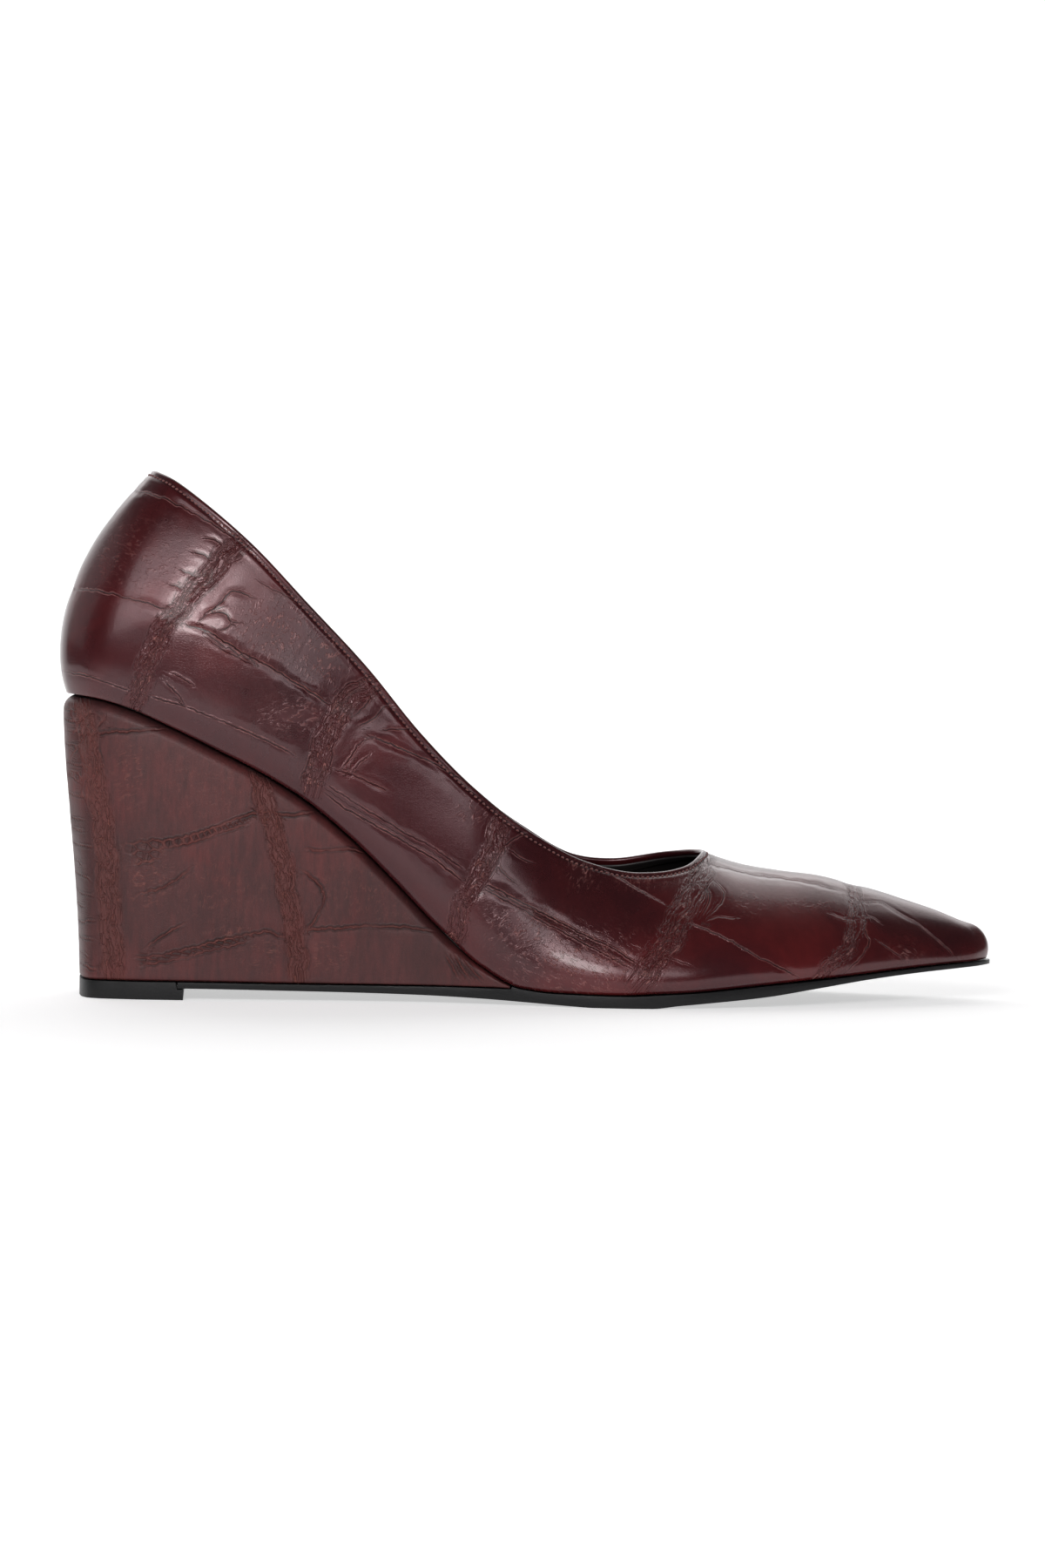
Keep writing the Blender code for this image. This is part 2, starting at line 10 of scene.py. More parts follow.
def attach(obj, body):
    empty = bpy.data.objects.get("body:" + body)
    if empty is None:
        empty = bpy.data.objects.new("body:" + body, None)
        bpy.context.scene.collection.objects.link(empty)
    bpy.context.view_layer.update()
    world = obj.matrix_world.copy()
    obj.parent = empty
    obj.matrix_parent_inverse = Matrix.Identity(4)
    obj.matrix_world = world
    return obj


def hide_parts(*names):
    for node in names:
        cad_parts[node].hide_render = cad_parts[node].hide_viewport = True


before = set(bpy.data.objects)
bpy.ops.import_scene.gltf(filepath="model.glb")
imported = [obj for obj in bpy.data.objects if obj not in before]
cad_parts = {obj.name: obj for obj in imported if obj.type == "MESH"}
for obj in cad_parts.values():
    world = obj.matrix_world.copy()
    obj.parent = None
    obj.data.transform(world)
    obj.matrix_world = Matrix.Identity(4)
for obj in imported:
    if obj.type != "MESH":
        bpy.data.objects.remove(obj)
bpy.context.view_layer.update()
print("frame loaded")

# sizes of the shoe in mm, the same as in the part
shoe = {
    "length": 256.5, "ballWidth": 80.0, "heelRise": 78.0, "backHeight": 60.0, "toeSpring": 10.0,
    "wall": 1.6, "insole": 2.2, "sole": 3.1, "strip": 1.6, "lift": 4.9, "liftLength": 28.8,
    "liftStep": 1.8, "heelTaper": 5.2, "soleLedge": 1.0, "wedgeLedge": 0.4, "gap": 0.3,
    "wedgeBack": 0.10, "wedgeFront": 0.47334, "liftBack": 0.022,  # shares of the length
    "middleX": 128.27, "middleY": -0.58,  # the frame's origin, from the back of the heel
}
length, ball, rise = shoe["length"], shoe["ballWidth"], shoe["backHeight"]
outerSide, innerSide = -1, 1
nudge, shareNudge = 0.05, 0.01  # small steps for slopes, along the edge and up the wall


# at the photo's angle: low, a little towards the heel, rolled by under a degree
cameraView = {
    "target": (126.1, 0.0, 58.0), "distance": 1150.0, "azimuth": -4.0, "height": 98.0, "roll": 0.8,
    "lens": 96.6, "sensor": 36.0, "near": 0.05, "far": 30.0,
}


def inFrame(point):
    return Vector(((point[0] - shoe["middleX"]) / 1000, (point[1] - shoe["middleY"]) / 1000, point[2] / 1000))


def addCamera(view):
    turn, roll = math.radians(view["azimuth"]), math.radians(view["roll"])
    lift = math.asin((view["height"] - view["target"][2]) / view["distance"])
    back = Vector((math.sin(turn) * math.cos(lift), -math.cos(turn) * math.cos(lift), math.sin(lift)))
    right = Vector((0, 0, 1)).cross(back).normalized()
    up = back.cross(right)
    rolledRight = right * math.cos(roll) + up * math.sin(roll)
    rolledUp = up * math.cos(roll) - right * math.sin(roll)
    data = bpy.data.cameras.new("photoCamera")
    data.sensor_fit = "VERTICAL"
    data.sensor_height = view["sensor"]
    data.lens = view["lens"]
    data.clip_start, data.clip_end = view["near"], view["far"]
    made = bpy.data.objects.new("photoCamera", data)
    place = inFrame(view["target"]) + back * view["distance"] / 1000
    turned = Matrix((rolledRight, rolledUp, back)).transposed().to_4x4()
    made.matrix_world = Matrix.Translation(place) @ turned
    bpy.context.scene.collection.objects.link(made)
    bpy.context.scene.camera = made


addCamera(cameraView)


# rows of the last's edge from heel to toe: at, outer, inner, swell, swell up, taper
footRows = np.array([
    (0.0078, 0.000, 0.000, 0.076, 0.260, 1.00),
    (0.0136, 0.145, 0.142, 0.076, 0.230, 0.90),
    (0.034, 0.222, 0.214, 0.074, 0.180, 0.35),
    (0.070, 0.272, 0.261, 0.076, 0.130, 0.38),
    (0.129, 0.300, 0.284, 0.079, 0.100, 0.42),
    (0.203, 0.314, 0.291, 0.081, 0.075, 0.40),
    (0.281, 0.318, 0.281, 0.081, 0.067, 0.35),
    (0.359, 0.325, 0.278, 0.081, 0.067, 0.25),
    (0.429, 0.350, 0.298, 0.082, 0.067, 0.12),
    (0.491, 0.395, 0.338, 0.088, 0.075, 0.00),
    (0.542, 0.438, 0.380, 0.096, 0.082, 0.00),
    (0.585, 0.463, 0.411, 0.100, 0.090, 0.00),
    (0.624, 0.470, 0.436, 0.100, 0.092, 0.00),
    (0.659, 0.465, 0.449, 0.100, 0.092, 0.00),
    (0.686, 0.449, 0.450, 0.100, 0.092, 0.00),
    (0.725, 0.418, 0.430, 0.100, 0.092, 0.00),
    (0.772, 0.366, 0.393, 0.094, 0.088, 0.00),
    (0.823, 0.299, 0.330, 0.082, 0.080, 0.00),
    (0.873, 0.224, 0.258, 0.068, 0.072, 0.00),
    (0.920, 0.150, 0.187, 0.050, 0.062, 0.00),
    (0.957, 0.089, 0.133, 0.034, 0.053, 0.00),
    (0.982, 0.036, 0.092, 0.026, 0.062, 0.00),
    (0.996, -0.036, 0.036, 0.021, 0.070, 0.00),
])

# the same rows at the top: at, outer, inner, rise, pull back, out outer, out inner, down, turn
topRows = np.array([
    (0.096, 0.000, 0.000, 1.003, 0.258, 0.000, 0.000, 0.239, 0),
    (0.102, 0.088, 0.085, 0.998, 0.212, 0.062, 0.062, 0.237, 0),
    (0.119, 0.163, 0.157, 0.971, 0.160, 0.081, 0.081, 0.231, 0),
    (0.150, 0.232, 0.225, 0.913, 0.114, 0.069, 0.069, 0.225, 0),
    (0.199, 0.278, 0.267, 0.840, 0.087, 0.056, 0.056, 0.212, 0),
    (0.259, 0.297, 0.275, 0.728, 0.069, 0.044, 0.044, 0.200, 0),
    (0.320, 0.304, 0.270, 0.668, 0.050, 0.037, 0.037, 0.194, 0),
    (0.386, 0.300, 0.268, 0.738, 0.044, 0.060, 0.060, 0.212, 0),
    (0.456, 0.275, 0.256, 0.870, 0.062, 0.106, 0.100, 0.212, 0),
    (0.522, 0.188, 0.219, 0.895, 0.062, 0.180, 0.125, 0.187, 0),
    (0.569, 0.037, 0.150, 0.833, 0.037, 0.256, 0.169, 0.119, 0),
    (0.602, -0.062, 0.100, 0.770, 0.012, 0.312, 0.219, 0.056, 0),
    (0.632, -0.087, 0.087, 0.700, 0.000, 0.325, 0.238, 0.025, 0),
    (0.661, -0.081, 0.081, 0.638, 0.000, 0.306, 0.238, 0.006, 0),
    (0.689, -0.062, 0.062, 0.588, 0.000, 0.300, 0.231, 0.000, 0),
    (0.725, -0.062, 0.062, 0.519, 0.000, 0.287, 0.225, 0.000, 0),
    (0.768, -0.057, 0.057, 0.471, 0.000, 0.244, 0.200, 0.000, 0),
    (0.815, -0.052, 0.052, 0.429, 0.000, 0.194, 0.169, 0.000, 0),
    (0.864, -0.047, 0.047, 0.360, 0.000, 0.150, 0.137, 0.000, 0),
    (0.908, -0.044, 0.044, 0.286, 0.000, 0.106, 0.100, 0.000, 4),
    (0.943, -0.040, 0.040, 0.226, 0.000, 0.069, 0.066, 0.000, 14),
    (0.967, -0.038, 0.038, 0.178, 0.000, 0.050, 0.049, 0.000, 45),
    (0.979, -0.037, 0.037, 0.158, 0.000, 0.047, 0.047, 0.000, 90),
])
throatRow = 14  # where the collar's edge meets the ridge of the vamp

# the collar's edge: at, outer, inner, rise outer, rise inner
edgeRows = np.array([
    (0.096, 0.000, 0.000, 1.003, 1.003),
    (0.102, 0.088, 0.085, 0.998, 0.998),
    (0.119, 0.163, 0.157, 0.971, 0.971),
    (0.150, 0.232, 0.225, 0.913, 0.913),
    (0.199, 0.278, 0.267, 0.840, 0.840),
    (0.259, 0.297, 0.275, 0.728, 0.728),
    (0.320, 0.304, 0.270, 0.668, 0.668),
    (0.378, 0.310, 0.275, 0.682, 0.682),
    (0.437, 0.322, 0.290, 0.732, 0.732),
    (0.499, 0.322, 0.305, 0.688, 0.688),
    (0.557, 0.274, 0.302, 0.578, 0.570),
    (0.608, 0.252, 0.295, 0.540, 0.562),
    (0.649, 0.190, 0.244, 0.532, 0.592),
    (0.676, 0.090, 0.165, 0.552, 0.610),
    (0.689, -0.062, 0.062, 0.588, 0.588),
])

# seat line: at, share of the heel rise, share of the toe spring
seatRows = np.array([
    (0.000, 1.004, 0.00),
    (0.040, 0.986, 0.00),
    (0.077, 0.950, 0.00),
    (0.122, 0.887, 0.00),
    (0.167, 0.816, 0.00),
    (0.212, 0.742, 0.00),
    (0.258, 0.650, 0.00),
    (0.304, 0.529, 0.00),
    (0.349, 0.386, 0.00),
    (0.395, 0.230, 0.00),
    (0.440, 0.095, 0.00),
    (0.485, 0.016, 0.00),
    (0.520, 0.004, 0.00),
    (0.592, 0.000, 0.00),
    (0.629, 0.000, 0.05),
    (0.665, 0.000, 0.10),
    (0.740, 0.000, 0.27),
    (0.800, 0.000, 0.39),
    (0.915, 0.000, 0.65),
    (1.005, 0.000, 0.80),
])

# underside of the sole: at, share of the strip's height at the lift, share of the toe spring
treadRows = np.array([
    (0.000, 1.00, 0.00),
    (0.136, 1.00, 0.00),
    (0.261, 0.90, 0.00),
    (0.379, 0.72, 0.00),
    (0.450, 0.50, 0.00),
    (0.491, 0.32, 0.00),
    (0.539, 0.08, 0.00),
    (0.560, 0.00, 0.00),
    (0.618, 0.00, 0.00),
    (0.647, 0.00, 0.08),
    (0.665, 0.00, 0.12),
    (0.740, 0.00, 0.29),
    (0.800, 0.00, 0.50),
    (0.855, 0.00, 0.69),
    (0.915, 0.00, 0.84),
    (1.005, 0.00, 1.00),
])


# smooth curve through rows: each row takes the slope of the parabola through it and its neighbours
def smoothCurve(places, values, level=False):
    places = np.array(places, float)
    values = np.array(values, float).reshape(len(places), -1)
    step = np.diff(places)[:, None]
    rate = np.diff(values, axis=0) / step
    slopes = np.zeros_like(values)
    slopes[0], slopes[-1] = rate[0], rate[-1]
    if level:  # never overshoots a row
        same = rate[:-1] * rate[1:] > 0
        total = np.where(same, rate[:-1] + rate[1:], 1.0)
        slopes[1:-1] = np.where(same, 2 * rate[:-1] * rate[1:] / total, 0.0)
    else:
        slopes[1:-1] = (step[1:] * rate[:-1] + step[:-1] * rate[1:]) / (step[1:] + step[:-1])

    def at(where):
        where = np.atleast_1d(np.asarray(where, float))
        i = np.clip(np.searchsorted(places, where, side="right") - 1, 0, len(places) - 2)
        gap = (places[i + 1] - places[i])[:, None]
        t = (where - places[i])[:, None] / gap
        start = (1 + 2 * t) * (1 - t) ** 2 * values[i] + t * (1 - t) ** 2 * gap * slopes[i]
        end = t * t * (3 - 2 * t) * values[i + 1] + t * t * (t - 1) * gap * slopes[i + 1]
        return start + end

    return at


# closed curve: 0 at the middle of the heel, round the outer side to the toe, back along the inner side
def ringCurve(places, outer, inner):
    full = 2 * places[-1]
    around = list(places) + [full - place for place in reversed(places[:-1])]
    before = [place - full for place in around[-3:-1]]
    after = [place + full for place in around[1:3]]
    values = list(outer) + list(reversed(inner[:-1]))
    return smoothCurve(before + around + after, values[-3:-1] + values + values[1:3])


def flatPoints(rows, side):
    half = rows[:, 1] if side == outerSide else rows[:, 2]
    return np.stack([rows[:, 0] * length, side * half * ball], axis=1)


def rowPlaces():
    sides = [flatPoints(footRows, side) for side in (outerSide, innerSide)]
    outer, inner = [np.linalg.norm(np.diff(flat, axis=0), axis=1) for flat in sides]
    return [0.0] + list(np.cumsum((outer + inner) / 2))


places = rowPlaces()
toePlace, throatPlace = places[-1], places[throatRow]
footRing = ringCurve(places, flatPoints(footRows, outerSide), flatPoints(footRows, innerSide))
swells = footRows[:, 3:6] * [ball, rise, shoe["heelTaper"]]
swellRing = ringCurve(places, swells, swells)
stripHeight = shoe["lift"] - shoe["liftStep"]


# a line along the shoe, from rows: at, share of the height at the back, share of the toe spring
def levelCurve(rows, backHeight):
    return smoothCurve(rows[:, 0] * length, rows[:, 1] * backHeight + rows[:, 2] * shoe["toeSpring"], True)


seatCurve, treadCurve = levelCurve(seatRows, shoe["heelRise"]), levelCurve(treadRows, stripHeight)


def seat(x):
    return shoe["sole"] + shoe["gap"] + seatCurve(x)[:, 0]


def tread(x):
    return treadCurve(x)[:, 0]


def squareOff(line, x, off):
    slope = (line(x + nudge) - line(x - nudge)) / (2 * nudge)
    return line(x) + off * np.sqrt(1 + slope * slope)


def unit(rows):
    return rows / np.linalg.norm(rows, axis=1)[:, None]


def footOut(ring):
    along = footRing(ring + nudge) - footRing(ring - nudge)
    return unit(np.stack([along[:, 1], -along[:, 0]], axis=1))


seatAt = footRows[:, 0] * length  # where the last's columns stand along the seat


def topsAndPulls(side):
    flat = flatPoints(topRows, side)
    tops = np.column_stack([flat, seat(seatAt) + topRows[:, 3] * rise])
    reach = topRows[:, 5] if side == outerSide else topRows[:, 6]
    turn = np.radians(topRows[:, 8])
    pulls = np.column_stack([-topRows[:, 4], side * reach * np.cos(turn), -topRows[:, 7]])
    ridge = np.diff(tops, axis=0, prepend=tops[:1])
    ridge[0] = (1, 0, 0)
    pulls += unit(ridge) * (reach * np.sin(turn))[:, None]
    return tops, pulls * ball


outerTops, outerPulls = topsAndPulls(outerSide)
innerTops, innerPulls = topsAndPulls(innerSide)
topRing = ringCurve(places, outerTops, innerTops)
pullRing = ringCurve(places, outerPulls, innerPulls)


def blend4(share, a, b, c, d):
    rest = (1 - share)[:, None]
    share = share[:, None]
    return rest ** 3 * a + 3 * rest ** 2 * share * b + 3 * rest * share ** 2 * c + share ** 3 * d


# a point of the last: ring says where round the edge, share runs from the sole's edge up to the top
def lastPoint(ring, share):
    flat = footRing(ring)
    low = np.column_stack([flat, seat(flat[:, 0])])
    swell = swellRing(ring)
    out = footOut(ring) * swell[:, :1]
    top = topRing(ring)
    return blend4(share, low, low + np.column_stack([out, swell[:, 1]]), top + pullRing(ring), top)


def edgePoints(side):
    height = edgeRows[:, 3] if side == outerSide else edgeRows[:, 4]
    return np.column_stack([flatPoints(edgeRows, side), seat(seatAt[:len(edgeRows)]) + height * rise])


edgeRing = ringCurve(places[:throatRow + 1], edgePoints(outerSide), edgePoints(innerSide))


# slides each point over the last until it lies nearest its target
def meetLast(ring, share, target, lowest, highest, turns):
    for _ in range(turns):
        here = lastPoint(ring, share)
        byRing = (lastPoint(ring + nudge, share) - here) / nudge
        byShare = (lastPoint(ring, share + shareNudge) - here) / shareNudge
        off = target - here
        a, b, c = (byRing ** 2).sum(1), (byRing * byShare).sum(1), (byShare ** 2).sum(1)
        p, q = (byRing * off).sum(1), (byShare * off).sum(1)
        size = a * c - b * b
        ring = np.clip(ring + np.clip((c * p - b * q) / size, -3, 3), lowest, highest)
        share = np.clip(share + np.clip((a * q - b * p) / size, -0.15, 0.15), 0.2, 1.05)
    return ring, share


# how the collar's edge is found on the last: first at even spots, then at every column
edgeSearch = {"spots": 43, "firstTurns": 12, "lastTurns": 5, "dropFade": 12}


# collar columns of one side, given by their places: top ring and top share
def collarTops(side, columnPlaces, drop, look):
    full, fullEdge = 2 * toePlace, 2 * throatPlace

    def ringOf(place):
        return place if side == outerSide else full - place

    def target(place):
        point = edgeRing(place if side == outerSide else fullEdge - place)
        point[:, 2] -= drop * np.clip((throatPlace - place) / look["dropFade"], 0, 1)
        return point

    lowest, highest = (0, toePlace) if side == outerSide else (toePlace, full)
    rough = np.linspace(0, throatPlace, look["spots"])
    found = [(0.0, 1.0)]
    place, share = 0.0, 1.0
    for spot in rough[1:-1]:
        start = np.array([ringOf(max(place, spot))])
        goal = target(np.array([spot]))
        ring, top = meetLast(start, np.array([share]), goal, lowest, highest, look["firstTurns"])
        place, share = float(ringOf(ring[0])), float(top[0])
        found.append((place, share))
    found.append((throatPlace, 1.0))
    found = np.array(found)
    ring = ringOf(np.interp(columnPlaces, rough, found[:, 0]))
    share = np.interp(columnPlaces, rough, found[:, 1])
    free = slice(1, -1)
    goal = target(columnPlaces[free])
    ring[free], share[free] = meetLast(ring[free], share[free], goal, lowest, highest, look["lastTurns"])
    ring[0], share[0] = ringOf(0.0), 1.0
    ring[-1], share[-1] = ringOf(throatPlace), 1.0
    return ring, share


# places closer together where the edge turns sharply in plan
def evenPlaces(start, end, count, turnWeight=6.0):
    fine = np.linspace(start, end, 4000)
    out = footOut(fine)
    turn = np.linalg.norm(np.diff(out, axis=0), axis=1)
    step = np.linalg.norm(np.diff(footRing(fine), axis=0), axis=1)
    run = np.concatenate([[0], np.cumsum(step + turnWeight * turn)])
    return np.interp(np.linspace(0, run[-1], count + 1), run, fine)


# grid of columns round the last, all of one length; returns points[column, row] and places along the foot
def lastGrid(columns, rows, drop):
    collarOuter, collarInner, vamp = columns
    full = 2 * toePlace
    vampPlaces = evenPlaces(throatPlace, toePlace, vamp)[1:]
    parts = []
    for side, count in ((outerSide, collarOuter), (innerSide, collarInner)):
        collarPlaces = evenPlaces(0.0, throatPlace, count)
        ring, share = collarTops(side, collarPlaces, drop, edgeSearch)
        low = np.concatenate([collarPlaces, vampPlaces])
        if side == innerSide:
            low = full - low
        vampRing = vampPlaces if side == outerSide else full - vampPlaces
        parts.append((low, np.concatenate([ring, vampRing]), np.concatenate([share, np.ones(vamp)])))
    outer, inner = parts
    keep = slice(-2, 0, -1)  # back along the inner side, without the toe tip and the heel's middle
    low = np.concatenate([outer[0], inner[0][keep]])
    top = np.concatenate([outer[1], inner[1][keep]])
    share = np.concatenate([outer[2], inner[2][keep]])
    up = np.linspace(0, 1, rows + 1)
    ring = low[:, None] + (top - low)[:, None] * up[None, :]
    shares = share[:, None] * up[None, :]
    points = lastPoint(ring.ravel(), shares.ravel()).reshape(len(low), rows + 1, 3)
    return points, low


# long creases of the embossing on the outer side: depth, width, then points (along, up) in mm
outerLines = [
    (0.30, 0.55, [(1.0, 137.5), (8, 137.6), (19.9, 136.2), (27.9, 133.9), (37.7, 129.0), (47.2, 123.3)]),
    (0.32, 0.55, [(0.6, 109.6), (3.8, 109.4), (10.2, 109.0), (15.9, 107.7), (22.4, 106.1), (29.4, 104.0)]),
    (0.24, 0.60, [(0.3, 87.5), (8.4, 85.9), (16.1, 83.5), (20.4, 81.5)]),
    (0.46, 0.60, [(33.9, 100.1), (40.0, 98.5), (47.5, 93.9), (55.4, 89.8), (64.0, 84.7), (72.5, 79.5)]),
    (0.24, 0.45, [(39.0, 97.2), (46.5, 92.4), (52.5, 89.6)]),
    (0.24, 0.45, [(28.6, 85.1), (31.5, 82.5), (34.4, 78.4)]),
    (0.20, 0.40, [(29.7, 87.5), (32.9, 86.2), (36.7, 83.9)]),
    (0.26, 0.60, [(24.8, 81.1), (34.5, 78.3), (44.0, 74.7), (54.3, 70.5), (63.6, 65.9)]),
    (0.40, 0.60, [(82.5, 71.7), (89.1, 69.0), (97.1, 65.7), (104.6, 62.0), (109.8, 58.6)]),
    (0.28, 0.50, [(73.8, 62.4), (78.8, 60.9), (88.3, 56.6)]),
    (0.34, 0.60, [(71.0, 56.3), (77.2, 51.8), (84.2, 48.1), (92.4, 43.5), (100.0, 39.3), (108.0, 33.3)]),
    (0.22, 0.50, [(71.8, 58.4), (78.3, 54.2), (84.5, 50.6), (93.1, 45.6), (100.8, 41.6), (108.8, 36.0)]),
    (0.46, 0.65, [(112.8, 33.2), (121.2, 29.2), (131.4, 24.1), (139.9, 19.8), (148.6, 15.8), (154.5, 12.3)]),
    (0.26, 0.55, [(114.0, 31.0), (122.0, 27.0), (131.0, 22.0), (139.2, 17.9), (147.2, 13.8), (153.0, 10.8)]),
    (0.28, 0.50, [(146.3, 36.2), (152.6, 32.8), (160.0, 28.7), (163.6, 26.8)]),
    (0.36, 0.60, [(168.9, 22.7), (173.6, 21.0), (179.9, 18.1), (185.6, 14.9), (192.0, 11.7), (198.6, 8.3)]),
    (0.22, 0.45, [(173.8, 23.0), (177.5, 24.1), (182.4, 23.6)]),
    (0.34, 0.70, [(176.8, 37.6), (182.5, 35.8), (189.0, 34.4), (202.4, 32.6), (212.9, 30.3)]),
    (0.30, 0.55, [(219.7, 27.1), (224.3, 27.0), (230.4, 23.7), (236.9, 19.7), (241.0, 16.2), (244.4, 12.9)]),
    (0.26, 0.45, [(219.7, 23.7), (218.7, 20.3), (219.5, 17.5), (216.6, 13.0), (212.6, 9.3)]),
    (0.20, 0.40, [(222.0, 17.4), (225.2, 15.2), (228.9, 12.5)]),
    (0.26, 0.42, [(38.2, 123.4), (41.5, 122.9), (43.6, 121.6)]),
    (0.26, 0.42, [(35.3, 119.6), (38.6, 118.9), (40.7, 117.2)]),
    (0.26, 0.42, [(32.3, 115.0), (35.1, 113.8), (36.8, 112.9)]),
    (0.20, 0.42, [(29.8, 110.8), (32.5, 109.9), (33.8, 109.2)]),
    (0.12, 0.40, [(52.6, 112.3), (59.6, 108.8), (66.7, 104.8)]),
    (0.30, 0.45, [(39.0, 103.0), (43.7, 106.3), (46.3, 109.4), (49.2, 108.8), (52.0, 107.6)]),
    (0.26, 0.45, [(37.4, 100.9), (40.2, 103.0), (44.3, 103.4), (46.6, 101.2), (49.4, 100.8)]),
    (0.22, 0.42, [(46.6, 101.2), (44.6, 99.2), (43.0, 98.8)]),
    (0.28, 0.45, [(78.3, 76.3), (82.1, 79.2), (84.0, 82.2)]),
    (0.30, 0.45, [(80.2, 73.8), (84.5, 76.0), (87.5, 79.4), (90.3, 78.9)]),
    (0.26, 0.42, [(86.6, 72.8), (90.2, 73.3), (93.7, 73.1)]),
    (0.24, 0.42, [(75.7, 62.3), (78.6, 66.2), (81.3, 69.8), (84.4, 71.0)]),
    (0.20, 0.42, [(78.0, 60.2), (80.4, 64.0), (83.8, 66.4)]),
    (0.22, 0.42, [(118.2, 41.4), (122.0, 44.4), (126.1, 45.9)]),
    (0.20, 0.42, [(117.3, 37.9), (119.5, 35.0), (122.3, 32.8)]),
    (0.20, 0.42, [(121.0, 41.5), (124.1, 39.1), (127.7, 37.9)]),
    (0.28, 0.45, [(177.2, 33.0), (179.8, 30.3), (178.4, 27.3), (174.9, 24.7)]),
    (0.26, 0.45, [(172.1, 32.6), (175.5, 30.4), (174.4, 26.4), (172.5, 23.9)]),
    (0.24, 0.42, [(164.3, 26.4), (166.2, 28.6), (167.4, 30.4)]),
    (0.22, 0.42, [(209.0, 24.4), (213.1, 23.1), (216.4, 22.9)]),
    (0.20, 0.42, [(218.6, 24.2), (221.3, 23.2), (223.5, 21.6)]),
    (0.18, 0.42, [(160.0, 22.0), (163.0, 18.6), (165.2, 16.8)]),
    (0.18, 0.42, [(158.6, 12.8), (164.0, 13.4), (169.0, 11.6)]),
]

# bundles of fine wrinkles that run from the collar to the sole: width, strands, depth, points
outerBands = [
    (5.6, 5, 0.27, [
        (50.5, 124.5), (48.3, 122.6), (40.2, 113.6), (34.1, 106.6),
        (28.3, 99.3), (24.9, 92.4), (22.3, 83.7), (20.2, 78.3)
    ]),
    (6.0, 5, 0.30, [
        (88.5, 88.0), (83.7, 85.0), (75.5, 78.4), (72.5, 72.5),
        (70.1, 67.8), (69.6, 62.8), (68.0, 57.0)
    ]),
    (5.4, 5, 0.26, [
        (122.0, 51.0), (119.6, 48.9), (116.1, 41.1), (113.0, 34.8),
        (108.9, 27.9), (106.6, 19.0), (104.5, 15.0)
    ]),
    (7.0, 5, 0.32, [(176.5, 41.0), (173.5, 34.5), (168.8, 27.0), (164.7, 19.6), (160.6, 14.3), (155.5, 7.4)]),
    (4.6, 4, 0.26, [(217.6, 33.0), (217.2, 28.1), (216.4, 21.5), (212.4, 15.0), (208.1, 11.2), (204.5, 8.0)]),
]

# the quarter's soft shoulder above the arch: height, reach, points
outerShoulder = (0.42, 6.5, [
    (28.0, 103.0), (40.0, 98.5), (55.4, 89.8), (72.5, 79.5),
    (84.0, 71.5), (97.1, 65.7), (109.8, 58.6), (120.0, 53.5),
])

# patches of short fine marks: middle, spread along and up, slant in degrees, strength
outerFlecks = [
    ((57.5, 99.5), (8.0, 6.0), 62, 0.9),
    ((71.0, 92.5), (5.0, 5.5), 66, 1.0),
    ((64.0, 76.5), (6.5, 3.0), 8, 0.6),
    ((140.8, 36.0), (3.6, 3.8), 64, 0.9),
    ((158.0, 34.0), (6.0, 2.5), 75, 0.5),
    ((112.0, 51.5), (5.0, 3.0), 30, 0.5),
    ((147.0, 12.0), (6.0, 2.6), 60, 0.7),
    ((140.0, 11.0), (15.0, 7.5), -35, 0.8),
    ((125.0, 20.0), (9.0, 5.0), 40, 0.5),
    ((186.0, 27.0), (5.0, 3.0), -5, 0.22),
    ((204.0, 27.0), (8.0, 1.6), 10, 0.22),
    ((230.0, 14.0), (4.0, 2.2), -40, 0.6),
    ((20.0, 118.0), (12.0, 9.0), -6, 0.25),
]


# how the inner side leans: along per mm below the top, depths, then the move and turn of the patches
innerLean = {
    "along": 0.22, "up": 0.05, "topShare": 0.94, "depth": 0.9, "least": 0.21, "move": (9, -2), "turn": 14,
}


# the inner side has the same hide pattern, leaning its own way from the ridge or collar down
def leanOver(points, look):
    tops = smoothCurve(seatAt, seat(seatAt) + topRows[:, 3] * rise * look["topShare"], True)
    moved = []
    for x, z in points:
        below = max(float(tops(x)[0, 0]) - z, 0.0)
        ends = min(x / 30, 1) * min((length - x) / 40, 1)
        moved.append((x + look["along"] * below * ends, z + look["up"] * below))
    return moved


innerLines = [
    (depth * innerLean["depth"], width, leanOver(points, innerLean))
    for depth, width, points in outerLines if depth > innerLean["least"]
]
innerBands = [
    (width, count, depth, leanOver(points, innerLean))
    for width, count, depth, points in outerBands
]
innerFlecks = [
    ((x + innerLean["move"][0], z + innerLean["move"][1]), spread, slant - innerLean["turn"], strength)
    for (x, z), spread, slant, strength in outerFlecks
]


# length run along a line of points
def runOf(points):
    return np.concatenate([[0], np.cumsum(np.linalg.norm(np.diff(points, axis=0), axis=1))])


# rows read off at places along their run
def readAlong(where, run, rows):
    return np.stack([np.interp(where, run, column) for column in rows.T], axis=-1)


# averages each row with its neighbours round a closed loop
def soften(rows, times):
    for _ in range(times):
        rows = (np.roll(rows, 1, axis=0) + rows + np.roll(rows, -1, axis=0)) / 3
    return rows


def bell(gap, width):
    return np.exp(-((gap / width) ** 2))


